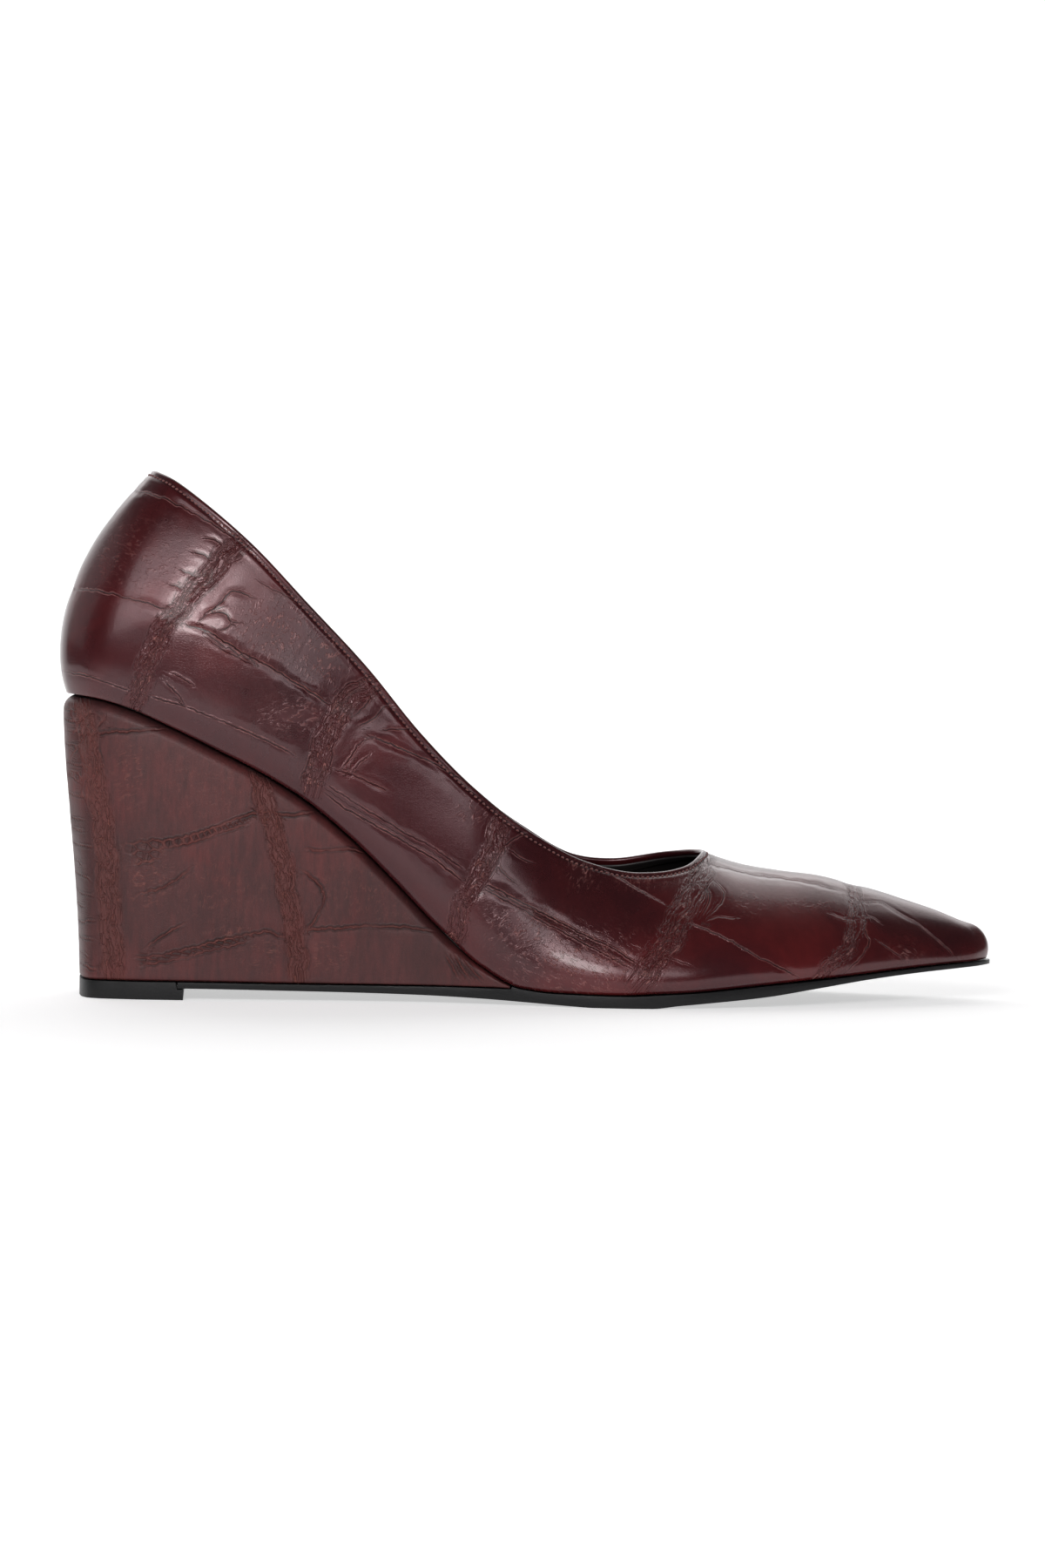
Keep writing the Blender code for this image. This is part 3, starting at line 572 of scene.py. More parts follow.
# points along a crease at even short steps, with a slight wander
def drawLine(points, wander, seed, step=0.4):
    points = np.array(points, float)
    run = runOf(points)
    along = np.linspace(0, run[-1], max(int(run[-1] / step), 3))
    line = smoothCurve(run, points)(along)
    way = np.gradient(line, axis=0)
    way = way / np.maximum(np.linalg.norm(way, axis=1), 1e-9)[:, None]
    square = np.stack([-way[:, 1], way[:, 0]], axis=1)
    shift = np.sin(along / 1.9 + seed * 2.1) * 0.6 + np.sin(along / 0.83 + seed * 5.3) * 0.4
    return line + square * (wander * shift)[:, None], square, along


# a crease in section: how far it reaches, its valley and the banks beside it, in widths of the crease
creaseShape = {
    "reach": 7, "wander": 0.12, "raised": 0.42, "valley": 1.6, "bankAt": 1.9, "bankWide": 0.9,
    "bankHigh": 0.42, "far": 9.0, "fullMark": 0.3, "mostMark": 1.3,
}
# a bundle of wrinkles: the wander and reach of its band, the dip under it and its strands
bundleShape = {
    "wander": 0.5, "reach": 1.3, "edge": 0.62, "fade": 0.25, "dip": (0.22, 0.8), "strand": (0.72, 0.46, 0.8),
}


# heights and marks that creases leave on a set of points
class Relief:
    def __init__(self, points):
        self.points = points
        self.height, self.line, self.band, self.across, self.run, self.fleck = np.zeros((6, len(points)))
        self.gap = np.full(len(points), creaseShape["far"])  # signed distance to the nearest crease
        self.sides, self.indexes = {}, {}

    # the points of one side, for lifting a drawn line onto the surface
    def addSide(self, name, index):
        tree = kdtree.KDTree(len(index))
        for i in index:
            tree.insert((self.points[i][0], self.points[i][2], 0), int(i))
        tree.balance()
        self.sides[name], self.indexes[name] = tree, index

    def lift(self, side, line):
        found = [self.sides[side].find((x, z, 0))[1] for x, z in line]
        spots = self.points[found]
        smooth = spots.copy()
        smooth[1:-1] = (spots[:-2] + 2 * spots[1:-1] + spots[2:]) / 4
        return smooth

    # nearest point of a lifted line for every point close to it
    def near(self, spots, reach):
        low, high = spots.min(0) - reach, spots.max(0) + reach
        close = np.where(((self.points > low) & (self.points < high)).all(1))[0]
        best = np.full(len(close), 1e9)
        which = np.zeros(len(close), int)
        for start in range(0, len(spots), 24):
            gap = np.linalg.norm(self.points[close][:, None] - spots[None, start:start + 24], axis=2)
            i = gap.argmin(1)
            gap = gap[np.arange(len(close)), i]
            nearer = gap < best
            best[nearer], which[nearer] = gap[nearer], i[nearer] + start
        kept = best < reach
        return close[kept], best[kept], which[kept]

    def crease(self, side, points, depth, width, seed=0, mark=1.0, drawn=None):
        shape = creaseShape
        line, square, along = drawn if drawn is not None else drawLine(points, shape["wander"], seed)
        index, gap, which = self.near(self.lift(side, line), width * shape["reach"])
        where = along[which]
        total = max(along[-1], 0.1)
        fade = np.clip(np.minimum(where, total - where) / min(total * 0.25, 3.0), 0, 1)
        pulse = 0.72 + 0.28 * np.sin(where / 2.6 + seed) * np.sin(where / 7.1 + 2 * seed)
        fade = (0.15 + 0.85 * fade) * pulse
        sway = 1 + 0.22 * np.sin(where / 2.3 + seed * 3) + 0.12 * np.sin(where / 0.9 + seed)
        wide = shape["valley"] * width * sway
        bank = bell(gap - shape["bankAt"] * wide, shape["bankWide"] * wide)
        self.height[index] += shape["raised"] * depth * fade * (shape["bankHigh"] * bank - bell(gap, wide))
        beside = ((self.points[index][:, [0, 2]] - line[which]) * square[which]).sum(1)
        nearer = gap < np.abs(self.gap[index])
        chosen = index[nearer]
        self.gap[chosen] = (np.sign(beside) * gap)[nearer]
        strong = mark * min(depth / shape["fullMark"], shape["mostMark"])
        self.line[chosen] = (strong * fade * np.clip((1.4 - gap) / 0.5, 0, 1))[nearer]

    # a shallow dip round a line, so that the scales between lines stand up softly
    def dip(self, side, points, depth, reach):
        line, _, _ = drawLine(points, 0, 0, 1.2)
        index, gap, _ = self.near(self.lift(side, line), reach * 2.2)
        self.height[index] -= depth * bell(gap, reach)

    def bundle(self, side, points, width, count, depth, seed=0):
        shape = bundleShape
        line, square, along = drawLine(points, shape["wander"], seed)
        index, gap, which = self.near(self.lift(side, line), width * shape["reach"])
        mask = np.clip((width * shape["edge"] - gap) / (width * shape["fade"]), 0, 1)
        stronger = mask > self.band[index]
        chosen = index[stronger]
        sideways = self.points[chosen][:, [0, 2]] - line[which[stronger]]
        self.across[chosen] = (sideways * square[which[stronger]]).sum(1)
        self.run[chosen] = along[which[stronger]]
        self.band[chosen] = mask[stronger]
        self.dip(side, points, shape["dip"][0], width * shape["dip"][1])
        deep, wide, marked = shape["strand"]
        for k in range(count):
            place = width * ((k + 0.5) / count - 0.5)
            sway = 0.75 * np.sin(along / (4.1 + 0.9 * (k % 3)) + 1.7 * k + seed)
            sway += 0.22 * np.sin(along / 1.9 + 2.9 * k)
            drawn = (line + square * (place + sway)[:, None], square, along)
            strong = 0.45 + 0.55 * abs(math.sin(2.3 * k + seed))
            self.crease(side, None, depth * deep * strong, wide, k + seed, marked * strong, drawn)

    # a soft patch where the hide shows short fine marks, with their slant as across and run
    def flecks(self, side, middle, spread, slant, strength):
        index = self.indexes[side]
        off = self.points[index][:, [0, 2]] - middle
        mask = strength * np.exp(-((off / spread) ** 2).sum(1) * 0.9)
        free = (mask > self.fleck[index]) & (self.band[index] < 0.02) & (mask > 0.01)
        chosen, off = index[free], off[free]
        way = np.array([math.cos(math.radians(slant)), math.sin(math.radians(slant))])
        self.fleck[chosen] = mask[free]
        self.run[chosen] = off @ way + middle[0]
        self.across[chosen] = off @ np.array([-way[1], way[0]]) + middle[1]

    # the pattern of one side: creases, with a dip round the deeper ones, bundles and patches
    def pattern(self, side, lines, bands, flecks, look):
        least, dipDepth, dipReach = look["dips"]
        firstSeed, bandSeed, seedStep = look["seeds"]
        for k, (depth, width, line) in enumerate(lines):
            self.crease(side, line, depth * look["deeper"], width, seed=firstSeed + k)
            if depth > least:
                self.dip(side, line, dipDepth, dipReach)
        for k, (width, count, depth, line) in enumerate(bands):
            self.bundle(side, line, width, count, depth, seed=bandSeed + seedStep * k)
        for fleck in flecks:
            self.flecks(side, *fleck)

    # what the hide's material reads; points added after these are plain, but carry a painted shade like the
    # rim's
    def marks(self, collar, added=0):
        made = {}
        for label in ("gap", "line", "band", "across", "run", "fleck"):
            plain = creaseShape["far"] if label == "gap" else 0.0
            made[label] = np.append(getattr(self, label), np.full(added, plain))
        made["collar"] = np.append(collar, np.full(added, 0.3))
        return made


# normal of each point, from the faces round it
def pointNormals(points, faces):
    corners = points[faces]
    square = np.cross(corners[:, 2] - corners[:, 0], corners[:, 3] - corners[:, 1])
    total = np.zeros_like(points)
    for k in range(4):
        np.add.at(total, faces[:, k], square)
    return total / np.maximum(np.linalg.norm(total, axis=1), 1e-12)[:, None]


# one closed or open piece from points in mm; repeated corners and empty faces fall away
def addPiece(name, points, faces, marks=None, replaces=()):
    points = np.asarray(points, float)
    mesh = bpy.data.meshes.new(name)
    local = (points - [shoe["middleX"], shoe["middleY"], 0]) / 1000
    tidy = []
    for face in faces:
        kept = list(dict.fromkeys(int(corner) for corner in face))
        if len(kept) > 2:
            tidy.append(kept)
    mesh.from_pydata(local.tolist(), [], tidy)
    mesh.validate()
    for label, values in (marks or {}).items():
        layer = mesh.attributes.new(label, "FLOAT", "POINT")
        layer.data.foreach_set("value", np.asarray(values, np.float32))
    mesh.shade_smooth()
    made = bpy.data.objects.new(name, mesh)
    bpy.context.scene.collection.objects.link(made)
    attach(made, "root")
    if replaces:
        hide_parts(*replaces)
    return made


# faces between two rows, between neighbouring columns all the way round, and between two closed loops
def grid(first, second):
    return np.stack([first[:-1], second[:-1], second[1:], first[1:]], axis=1)


def ringFaces(number):
    return np.concatenate([grid(first, second) for first, second in zip(number, np.roll(number, -1, axis=0))])


def hoop(first, second):
    return np.stack([first, np.roll(first, -1), np.roll(second, -1), second], axis=1)


def numbered(columns, rows):
    return np.arange(columns * rows).reshape(columns, rows)


# both sides share the ridge of the vamp
def shareRidge(number, toe, reach, row):
    number[toe + 1:toe + 1 + reach, row] = number[toe - reach:toe, row][::-1]


# upper: outside with its creases, edge rolled over the lining
upperLook = {
    "columns": (350, 175, 175), "rows": 100,
    "deeper": 1.0, "dips": (0.28, 0.14, 3.2), "seeds": (0, 0, 2),
    "roll": 0.8, "rollSteps": 9, "turnIn": (0.7, 1.5, 2.4), "turnUnder": ((0.7, 0.08), (1.5, 0.0)),
    "rim": (0.10, 0.6), "groove": (0.26, 0.42), "bead": (0.10, 2.3, 0.7), "grime": 0.55,
    "seam": (0.28, 0.35), "seamBank": (0.08, 1.1, 0.6), "seamReach": (40, 6),
    "stitchBelow": 1.15, "stitchPitch": 1.45, "stitchLength": 1.08, "stitchWidth": 0.52,
}


def makeUpper(look):
    collarOuter, _, vamp = look["columns"]
    points, low = lastGrid(look["columns"], look["rows"], look["roll"] - 0.1)
    columns, rows = points.shape[:2]
    number = numbered(columns, rows)
    toe = collarOuter + vamp
    shareRidge(number, toe, vamp, -1)
    flat = points.reshape(-1, 3)
    faces = ringFaces(number)
    normals = pointNormals(flat, faces)
    if normals[number[collarOuter // 2, rows // 2]][1] > 0:
        faces = faces[:, ::-1]
        normals = -normals

    relief = Relief(flat)
    relief.addSide("outer", number[:toe + 1].ravel())
    relief.addSide("inner", np.unique(np.concatenate([number[toe:].ravel(), number[0].ravel()])))
    patterns = {
        "outer": (outerLines, outerBands, outerFlecks),
        "inner": (innerLines, innerBands, innerFlecks),
    }
    high, reach, shoulder = outerShoulder
    for side, pattern in patterns.items():
        relief.pattern(side, *pattern, look)
        relief.dip(side, shoulder, -high, reach)
    print("upper creases placed")

    # the collar's edge, round both sides, and how far below it each point lies
    innerEnd = 2 * toe - collarOuter
    collar = list(range(collarOuter + 1)) + list(range(innerEnd + 1, columns))
    edgeIndex = number[collar, -1]
    edgeTree = kdtree.KDTree(len(edgeIndex))
    for i, point in enumerate(flat[edgeIndex]):
        edgeTree.insert(point, i)
    edgeTree.balance()
    throat = [number[collarOuter:collarOuter + 9].ravel(), number[innerEnd - 9:innerEnd + 1].ravel()]
    near = np.unique(np.concatenate([number[collar][:, -14:].ravel()] + throat))
    below = np.full(len(flat), 99.0)
    below[near] = [edgeTree.find(flat[i])[2] for i in near]
    relief.height *= np.clip((below - 0.2) / 1.6, 0, 1)
    (rimHigh, rimWide), (grooveDeep, grooveWide) = look["rim"], look["groove"]
    fromStitches = below - look["stitchBelow"]
    relief.height += rimHigh * bell(below, rimWide) - grooveDeep * bell(fromStitches, grooveWide)
    beadHigh, beadAt, beadWide = look["bead"]
    relief.height += beadHigh * bell(below - beadAt, beadWide)
    # centre back seam
    side = np.abs(flat[:, 1])
    back = (flat[:, 0] < look["seamReach"][0]) & (side < look["seamReach"][1])
    bankHigh, bankAt, bankWide = look["seamBank"]
    seam = look["seam"][0] * bell(side, look["seam"][1]) - bankHigh * bell(side - bankAt, bankWide)
    relief.height[back] -= seam[back]
    moved = flat + normals * relief.height[:, None]

    # rolled edge and the strip turned in behind it
    edge = moved[edgeIndex]
    along = unit(soften(np.roll(edge, -1, axis=0) - np.roll(edge, 1, axis=0), 3))
    out = soften(normals[edgeIndex], 6)
    out = unit(out - along * (out * along).sum(1)[:, None])
    up = np.cross(along, out)
    up *= np.sign((up * [-0.2, 0, 1]).sum(1).mean())
    centre = edge - out * look["roll"]
    extra = []
    for angle in np.linspace(0, math.pi, look["rollSteps"])[1:]:
        extra.append(centre + look["roll"] * (out * math.cos(angle) + up * math.sin(angle)))
    for drop in look["turnIn"]:
        extra.append(centre - out * look["roll"] - up * drop)
    # the bottom edge turned under
    foot = number[:, 0]
    inward = footOut(low)
    under = []
    for depth, drop in look["turnUnder"]:
        under.append(moved[foot] - np.column_stack([inward * depth, np.full(columns, drop)]))
    turned = faces[0][0] == number[0, 0] and faces[0][1] == number[1, 0]
    start = len(moved)
    for first, loops, outward in ((edgeIndex, extra, turned), (foot, under, not turned)):
        for loop in loops:
            second = start + np.arange(len(loop))
            band = hoop(first, second)
            faces = np.concatenate([faces, band if outward else band[:, ::-1]])
            first, start = second, start + len(loop)
    every = np.concatenate([moved] + extra + under)
    # the collar mark is painted shade, strongest in the stitch groove below the collar's edge
    marks = relief.marks(bell(fromStitches, look["grime"]), len(every) - len(moved))
    piece = addPiece("upper_leather", every, faces, marks, ("upper",))
    return piece, {"moved": moved, "faces": faces, "edge": edge, "up": up}


upper, upperShape = makeUpper(upperLook)
print("upper made", len(upper.data.polygons))


# one row of thread below the collar's edge, each stitch its own bead sunk at both ends
stitchSection = [  # along, width, height
    (-0.5, 0.02, -0.30), (-0.42, 0.62, -0.10), (-0.2, 1.0, 0.04), (0.0, 1.0, 0.10),
    (0.2, 1.0, 0.04), (0.42, 0.62, -0.10), (0.5, 0.02, -0.30),
]
stitchSides = 7


def makeStitches(look, shape):
    count = len(shape["moved"])
    skin = [list(map(int, face)) for face in shape["faces"] if max(face) < count]
    tree = BVHTree.FromPolygons(shape["moved"].tolist(), skin)
    row = []
    for point, up in zip(shape["edge"], shape["up"]):
        spot, normal, _, _ = tree.find_nearest(Vector(point - up * look["stitchBelow"]))
        row.append((np.array(spot), np.array(normal)))
    spots = soften(np.array([spot for spot, _ in row]), 2)
    outs = np.array([normal for _, normal in row])
    closed, closedOut = np.vstack([spots, spots[:1]]), np.vstack([outs, outs[:1]])
    run = runOf(closed)
    count = int(run[-1] / look["stitchPitch"])
    turns = [2 * math.pi * turn / stitchSides for turn in range(stitchSides)]
    wide, high = 0.5 * look["stitchWidth"], 0.42 * look["stitchWidth"]
    points, faces = [], []
    for k in range(count):
        middle = (k + 0.5) * run[-1] / count
        here = readAlong(middle, run, closed)
        out = readAlong(middle, run, closedOut)
        out /= np.linalg.norm(out)
        way = readAlong((middle + 0.3) % run[-1], run, closed) - here
        way /= np.linalg.norm(way)
        side = np.cross(out, way)
        way = way + side * 0.12 * (1 + 0.3 * math.sin(7 * k))  # a slight slant, as machine thread lies
        base = len(points)
        for part, share, lift in stitchSection:
            for turn in turns:
                raised = out * (math.sin(turn) * share * high + lift + 0.03)
                off = side * math.cos(turn) * share * wide + raised
                points.append(here + way * part * look["stitchLength"] + off)
        rings = base + numbered(len(stitchSection), stitchSides)
        for first, second in zip(rings[:-1], rings[1:]):
            faces += hoop(first, second).tolist()
        faces += [rings[0][::-1].tolist(), rings[-1].tolist()]
    return addPiece("collar_stitches", points, faces, None, ())


stitches = makeStitches(upperLook, upperShape)
print("stitches made", len(stitches.data.polygons))


# lining: the inside skin, with a facing band round the collar
liningLook = {
    "columns": (200, 160, 90), "rows": 46, "readRows": 120, "depth": 1.62, "foot": 0.35, "overSeat": 0.25,
}
# rows below the collar's edge: how far down, how deep inside the upper's surface
facingRows = np.array([
    (0.9, 1.5), (1.0, 1.80), (1.25, 1.92), (1.7, 1.95), (2.4, 1.95), (3.1, 1.95),
    (3.5, 1.93), (3.7, 1.80), (3.9, 1.66), (4.2, 1.62), (5.0, 1.62), (6.2, 1.62),
])
facingSeam = slice(6, 9)


def makeLining(look):
    collarOuter, _, vamp = look["columns"]
    points, _ = lastGrid(look["columns"], look["readRows"], upperLook["roll"] - 0.1)
    columns, deep = points.shape[:2]
    toe = collarOuter + vamp
    innerEnd = 2 * toe - collarOuter
    number = numbered(columns, deep)
    shareRidge(number, toe, vamp, -1)
    normals = pointNormals(points.reshape(-1, 3), ringFaces(number))
    if normals[number[collarOuter // 2, deep // 2]][1] > 0:
        normals = -normals
    normals = normals[number]
    rows = look["rows"] + 1
    down, depths = facingRows.T
    made = np.zeros((columns, rows, 3))
    seam = np.zeros((columns, rows))
    for i in range(columns):
        line = points[i][::-1]
        run = runOf(line)
        last = run[-1] - look["foot"]
        plain = np.linspace(0, last, rows)
        collarRows = np.concatenate([down, np.linspace(down[-1], last, rows + 1 - len(down))[1:]])
        # rows of the facing fade out over ten columns in front of the collar
        isCollar = i <= collarOuter or i >= innerEnd
        share = 1.0 if isCollar else max(0.0, 1 - min(abs(i - collarOuter), abs(i - innerEnd)) / 10)
        where = collarRows * share + plain * (1 - share)
        depth = np.full(rows, look["depth"])
        depth[:len(depths)] = depths * share + look["depth"] * (1 - share)
        seam[i, facingSeam] = share
        out = unit(readAlong(where, run, normals[i][::-1]))
        made[i] = readAlong(where, run, line) - out * depth[:, None]
        made[i, -1, 2] = max(made[i, -1, 2], seat(made[i, -1, :1])[0] + look["overSeat"])
    number = numbered(columns, rows)
    shareRidge(number, toe, vamp - 1, 0)
    faces = ringFaces(number)
    flat = made.reshape(-1, 3)
    test = pointNormals(flat, faces)[number[collarOuter // 2, rows // 2]]
    if test[1] < 0:  # the outer wall's lining faces in, to the foot
        faces = faces[:, ::-1]
    return addPiece("upper_lining", flat, faces, {"seam": seam.ravel()}, ())


lining = makeLining(liningLook)
print("lining made", len(lining.data.polygons))


# points of both sides as [column, level], with their numbers
def bothSides(levels, columnPlaces):
    outer = np.stack([level(columnPlaces) for level in levels], axis=1)
    inner = np.stack([level(2 * toePlace - columnPlaces) for level in levels], axis=1)
    number = numbered(*outer.shape[:2])
    return outer, inner, number, number + number.size


# faces that close a block underneath and on top between two columns
def capPair(number, other, i):
    under = [number[i, 0], other[i, 0], other[i + 1, 0], number[i + 1, 0]]
    return [under, [number[i, -1], number[i + 1, -1], other[i + 1, -1], other[i, -1]]]


def endFaces(number, other, end):
    rows = range(number.shape[1] - 1)
    return [[number[end, row], number[end, row + 1], other[end, row + 1], other[end, row]] for row in rows]


# slab between side edges, as the part builds its soles: levels give a point for each ring place
def slabPiece(name, levels, columnPlaces, bevel, replaces):
    outer, inner, number, other = bothSides(levels, np.asarray(columnPlaces, float))
    flat = np.concatenate([outer.reshape(-1, 3), inner.reshape(-1, 3)])
    meets = np.linalg.norm(outer - inner, axis=2) < 0.03
    other = np.where(meets, number, other)
    faces = []
    for i in range(len(number) - 1):
        faces += grid(number[i], number[i + 1]).tolist() + grid(other[i + 1], other[i]).tolist()
        faces += capPair(number, other, i)
    if not meets[0].any():
        faces += endFaces(number, other, 0)
    if not meets[-1].any():
        faces += [face[::-1] for face in endFaces(number, other, -1)]
    piece = addPiece(name, flat, faces, None, replaces)
    fixNormals(piece)
    tool = piece.modifiers.new("softEdge", "BEVEL")
    tool.width = bevel / 1000
    tool.segments = 3
    tool.limit_method = "ANGLE"
    tool.angle_limit = math.radians(40)
    return piece


def fixNormals(piece):
    work = bmesh.new()
    work.from_mesh(piece.data)
    bmesh.ops.recalc_face_normals(work, faces=work.faces)
    work.to_mesh(piece.data)
    work.free()


def placeAt(x, out):
    fine = np.linspace(0, toePlace, 4000)
    line = (footRing(fine) + footOut(fine) * out(fine)[:, None])[:, 0]
    return float(np.interp(x, line, fine))


def edgeStep(ring):
    return shoe["soleLedge"] - swellRing(ring)[:, 2]


def evenStep(out):
    return lambda ring: np.full(len(ring), out)


def seatOff(off):
    return lambda x: squareOff(seat, x, off)


def wedgeLow(x):
    back, front = shoe["wedgeBack"] * length, shoe["wedgeFront"] * length
    along = np.clip((x - back) / (front - back), 0, 1)
    return tread(x) + shoe["strip"] + shoe["gap"] + (shoe["sole"] - shoe["strip"]) * along ** 3


def edgeLevel(out, height):
    def level(ring):
        flat = footRing(ring) + footOut(ring) * out(ring)[:, None]
        return np.column_stack([flat, height(flat[:, 0])])

    return level


# sock: the insole that shows inside
sockLook = {"columns": 260, "edge": 0.5}
insoleStep = evenStep(-shoe["wall"] - shoe["gap"])
sock = slabPiece(
    "sock", [edgeLevel(insoleStep, seatOff(0.0)), edgeLevel(insoleStep, seatOff(shoe["insole"]))],
    evenPlaces(0, toePlace, sockLook["columns"]), sockLook["edge"], ("insole",),
)

# outsole: thin strip under the wedge, full sole in front
soleLook = {"columns": (150, 240), "edge": 0.35, "near": 0.15}
wedgeEnd = shoe["wedgeFront"] * length
liftEndX = shoe["liftBack"] * length + shoe["liftLength"]
liftStepX = liftEndX - shoe["liftStep"]
stripStart = placeAt(liftStepX + shoe["gap"], edgeStep)
stripEnd = placeAt(wedgeEnd + shoe["gap"], edgeStep)
stripColumns = np.linspace(stripStart, stripEnd - soleLook["near"], soleLook["columns"][0])
frontColumns = evenPlaces(stripEnd + soleLook["near"], toePlace, soleLook["columns"][1])


def soleTop(x):
    return np.where(x < wedgeEnd + shoe["gap"], wedgeLow(x) - shoe["gap"], squareOff(seat, x, -shoe["gap"]))


outsole = slabPiece(
    "sole", [edgeLevel(edgeStep, tread), edgeLevel(edgeStep, soleTop)],
    np.concatenate([stripColumns, frontColumns]), soleLook["edge"], ("outsole",),
)

# heel lift, with the step that takes the end of the sole's strip
liftLook = {"columns": 160, "edge": 0.25, "near": 0.15}
liftStepPlace, liftEndPlace = placeAt(liftStepX, edgeStep), placeAt(liftEndX, edgeStep)
liftColumns = evenPlaces(0, liftStepPlace - liftLook["near"], liftLook["columns"])


def liftTop(x):
    return np.where(x < liftStepX, wedgeLow(x) - shoe["gap"], stripHeight - shoe["gap"])


heelLift = slabPiece(
    "lift", [edgeLevel(edgeStep, lambda x: 0 * x), edgeLevel(edgeStep, liftTop)],
    np.append(liftColumns, [liftStepPlace + liftLook["near"], liftEndPlace]),
    liftLook["edge"], ("heel_lift",),
)
print("sock, sole and lift made")


# wedge: block covered in the same hide, with creases of its own
wedgeLook = {
    "columns": 300, "rows": 84, "bunched": 0.055,
    "topPull": (0.14, 0.022), "lowPull": (0.40, 0.005), "topFold": 3.8, "lowFold": 0.8,
    "deeper": 1.6, "dips": (0.22, 0.12, 3.0), "seeds": (40, 5, 3), "lean": {"outer": 0.0, "inner": 0.12},
    "cornerDepth": 0.34, "cornerWidth": 0.42,
}
wedgeLines = [
    (0.24, 0.55, [(1.8, 71.4), (8.6, 70.7), (15.4, 71.5), (22.4, 71.9), (29.0, 72.5)]),
    (0.34, 0.60, [
        (17.8, 41.4), (25.0, 42.3), (33.7, 43.6), (45.4, 47.6), (55.0, 50.7), (61.6, 49.9), (69.8, 51.0),
    ]),
    (0.18, 0.50, [(18.4, 39.0), (27.0, 40.2), (36.0, 42.2), (45.0, 45.4), (52.0, 48.0)]),
    (0.34, 0.60, [(21.2, 11.0), (28.2, 11.9), (40.8, 15.3), (50.5, 17.6), (56.1, 18.5), (62.5, 17.0)]),
    (0.18, 0.50, [(22.4, 9.2), (30.0, 10.4), (42.0, 13.6), (52.0, 16.2)]),
    (0.26, 0.55, [(66.5, 19.0), (70.3, 19.5), (77.0, 20.0), (85.4, 20.6), (93.5, 20.3), (101.2, 19.5)]),
    (0.20, 0.45, [(23.9, 13.7), (29.5, 17.6), (35.0, 20.7)]),
    (0.20, 0.42, [(20.8, 36.2), (24.4, 37.0), (28.1, 37.8)]),
    (0.22, 0.45, [(21.6, 27.8), (27.1, 29.6), (32.5, 32.4), (36.0, 35.2)]),
    (0.20, 0.50, [(66.4, 40.8), (73.0, 40.7), (79.3, 40.9), (82.7, 39.8)]),
    (0.24, 0.50, [(65.3, 35.3), (68.8, 33.0), (71.7, 28.4), (69.5, 22.3), (66.6, 18.5)]),
    (0.22, 0.45, [(106.6, 13.1), (108.6, 9.8), (111.1, 6.4)]),
    (0.22, 0.45, [(108.9, 12.2), (111.6, 9.0), (114.2, 6.2)]),
    (0.20, 0.45, [(104.0, 13.6), (106.0, 10.0), (108.0, 6.6)]),
    (0.22, 0.42, [(5.4, 79.5), (7.4, 73.5), (10.8, 66.7), (12.5, 62.0)]),
    (0.22, 0.42, [(9.6, 77.6), (6.5, 73.4), (7.5, 67.7)]),
    (0.20, 0.42, [(13.0, 75.5), (8.8, 69.0), (9.0, 64.0)]),
    (0.20, 0.42, [(4.0, 70.0), (8.5, 76.5), (13.8, 74.0)]),
    (0.18, 0.42, [(3.6, 64.0), (7.0, 69.5), (10.5, 75.6)]),
]
wedgeBands = [
    (6.4, 6, 0.20, [
        (6.5, 79.0), (7.5, 71.6), (9.9, 59.8), (12.3, 47.6), (14.0, 32.0), (15.0, 18.0), (16.2, 6.5),
    ]),
    (5.2, 5, 0.24, [
        (52.6, 65.0), (53.7, 61.3), (56.7, 50.5), (60.0, 38.9), (62.5, 27.0), (64.3, 15.2), (65.1, 7.2),
    ]),
]
wedgeFlecks = [
    ((25.0, 33.0), (5.0, 8.0), 12, 0.8),
    ((40.0, 58.0), (14.0, 9.0), 84, 0.35),
    ((44.0, 30.0), (13.0, 9.0), 82, 0.35),
    ((84.0, 30.0), (16.0, 9.0), 80, 0.35),
    ((56.0, 13.0), (6.0, 3.6), 4, 0.7),
    ((73.0, 13.0), (5.0, 4.0), 0, 0.7),
    ((47.0, 18.5), (6.0, 1.6), 70, 0.7),
    ((20.0, 60.0), (4.0, 9.0), 20, 0.6),
]
cornerHeights = (  # short level creases that cross the back corner
    77.0, 74.2, 67.6, 62.6, 60.4, 59.2, 54.4, 48.0, 44.6, 41.0, 36.8, 33.4, 28.6, 25.0, 20.4, 16.0, 12.2, 9.0,
)


def wedgeWall(share, look):
    wedgeTop = edgeLevel(evenStep(shoe["wedgeLedge"]), seatOff(-shoe["gap"]))

    def level(ring):
        low, top = edgeLevel(edgeStep, wedgeLow)(ring), wedgeTop(ring)
        out = np.column_stack([footOut(ring), np.zeros(len(ring))])
        tall = (top - low)[:, 2:]
        down, swell = look["topPull"]
        high = top + out * swell * ball - np.array([0, 0, 1]) * down * tall
        up, lowSwell = look["lowPull"]
        lower = low + out * lowSwell * ball + np.array([0, 0, 1]) * up * tall
        point = blend4(np.full(len(ring), share), low, lower, high, top)
        # folds of the cover at both edges
        fromTop = np.linalg.norm(top - point, axis=1)
        fromLow = np.linalg.norm(point - low, axis=1)
        for gap, fold in ((fromTop, look["topFold"]), (fromLow, look["lowFold"])):
            size = np.minimum(fold, tall[:, 0] * 0.3)
            left = np.clip(1 - gap / size, 0, 1)
            point = point - out * (size * (1 - np.sqrt(1 - left ** 2)))[:, None]
        return point

    return level


def leanWith(lean, line):
    return [(x + lean * (z - 30), z) for x, z in line]


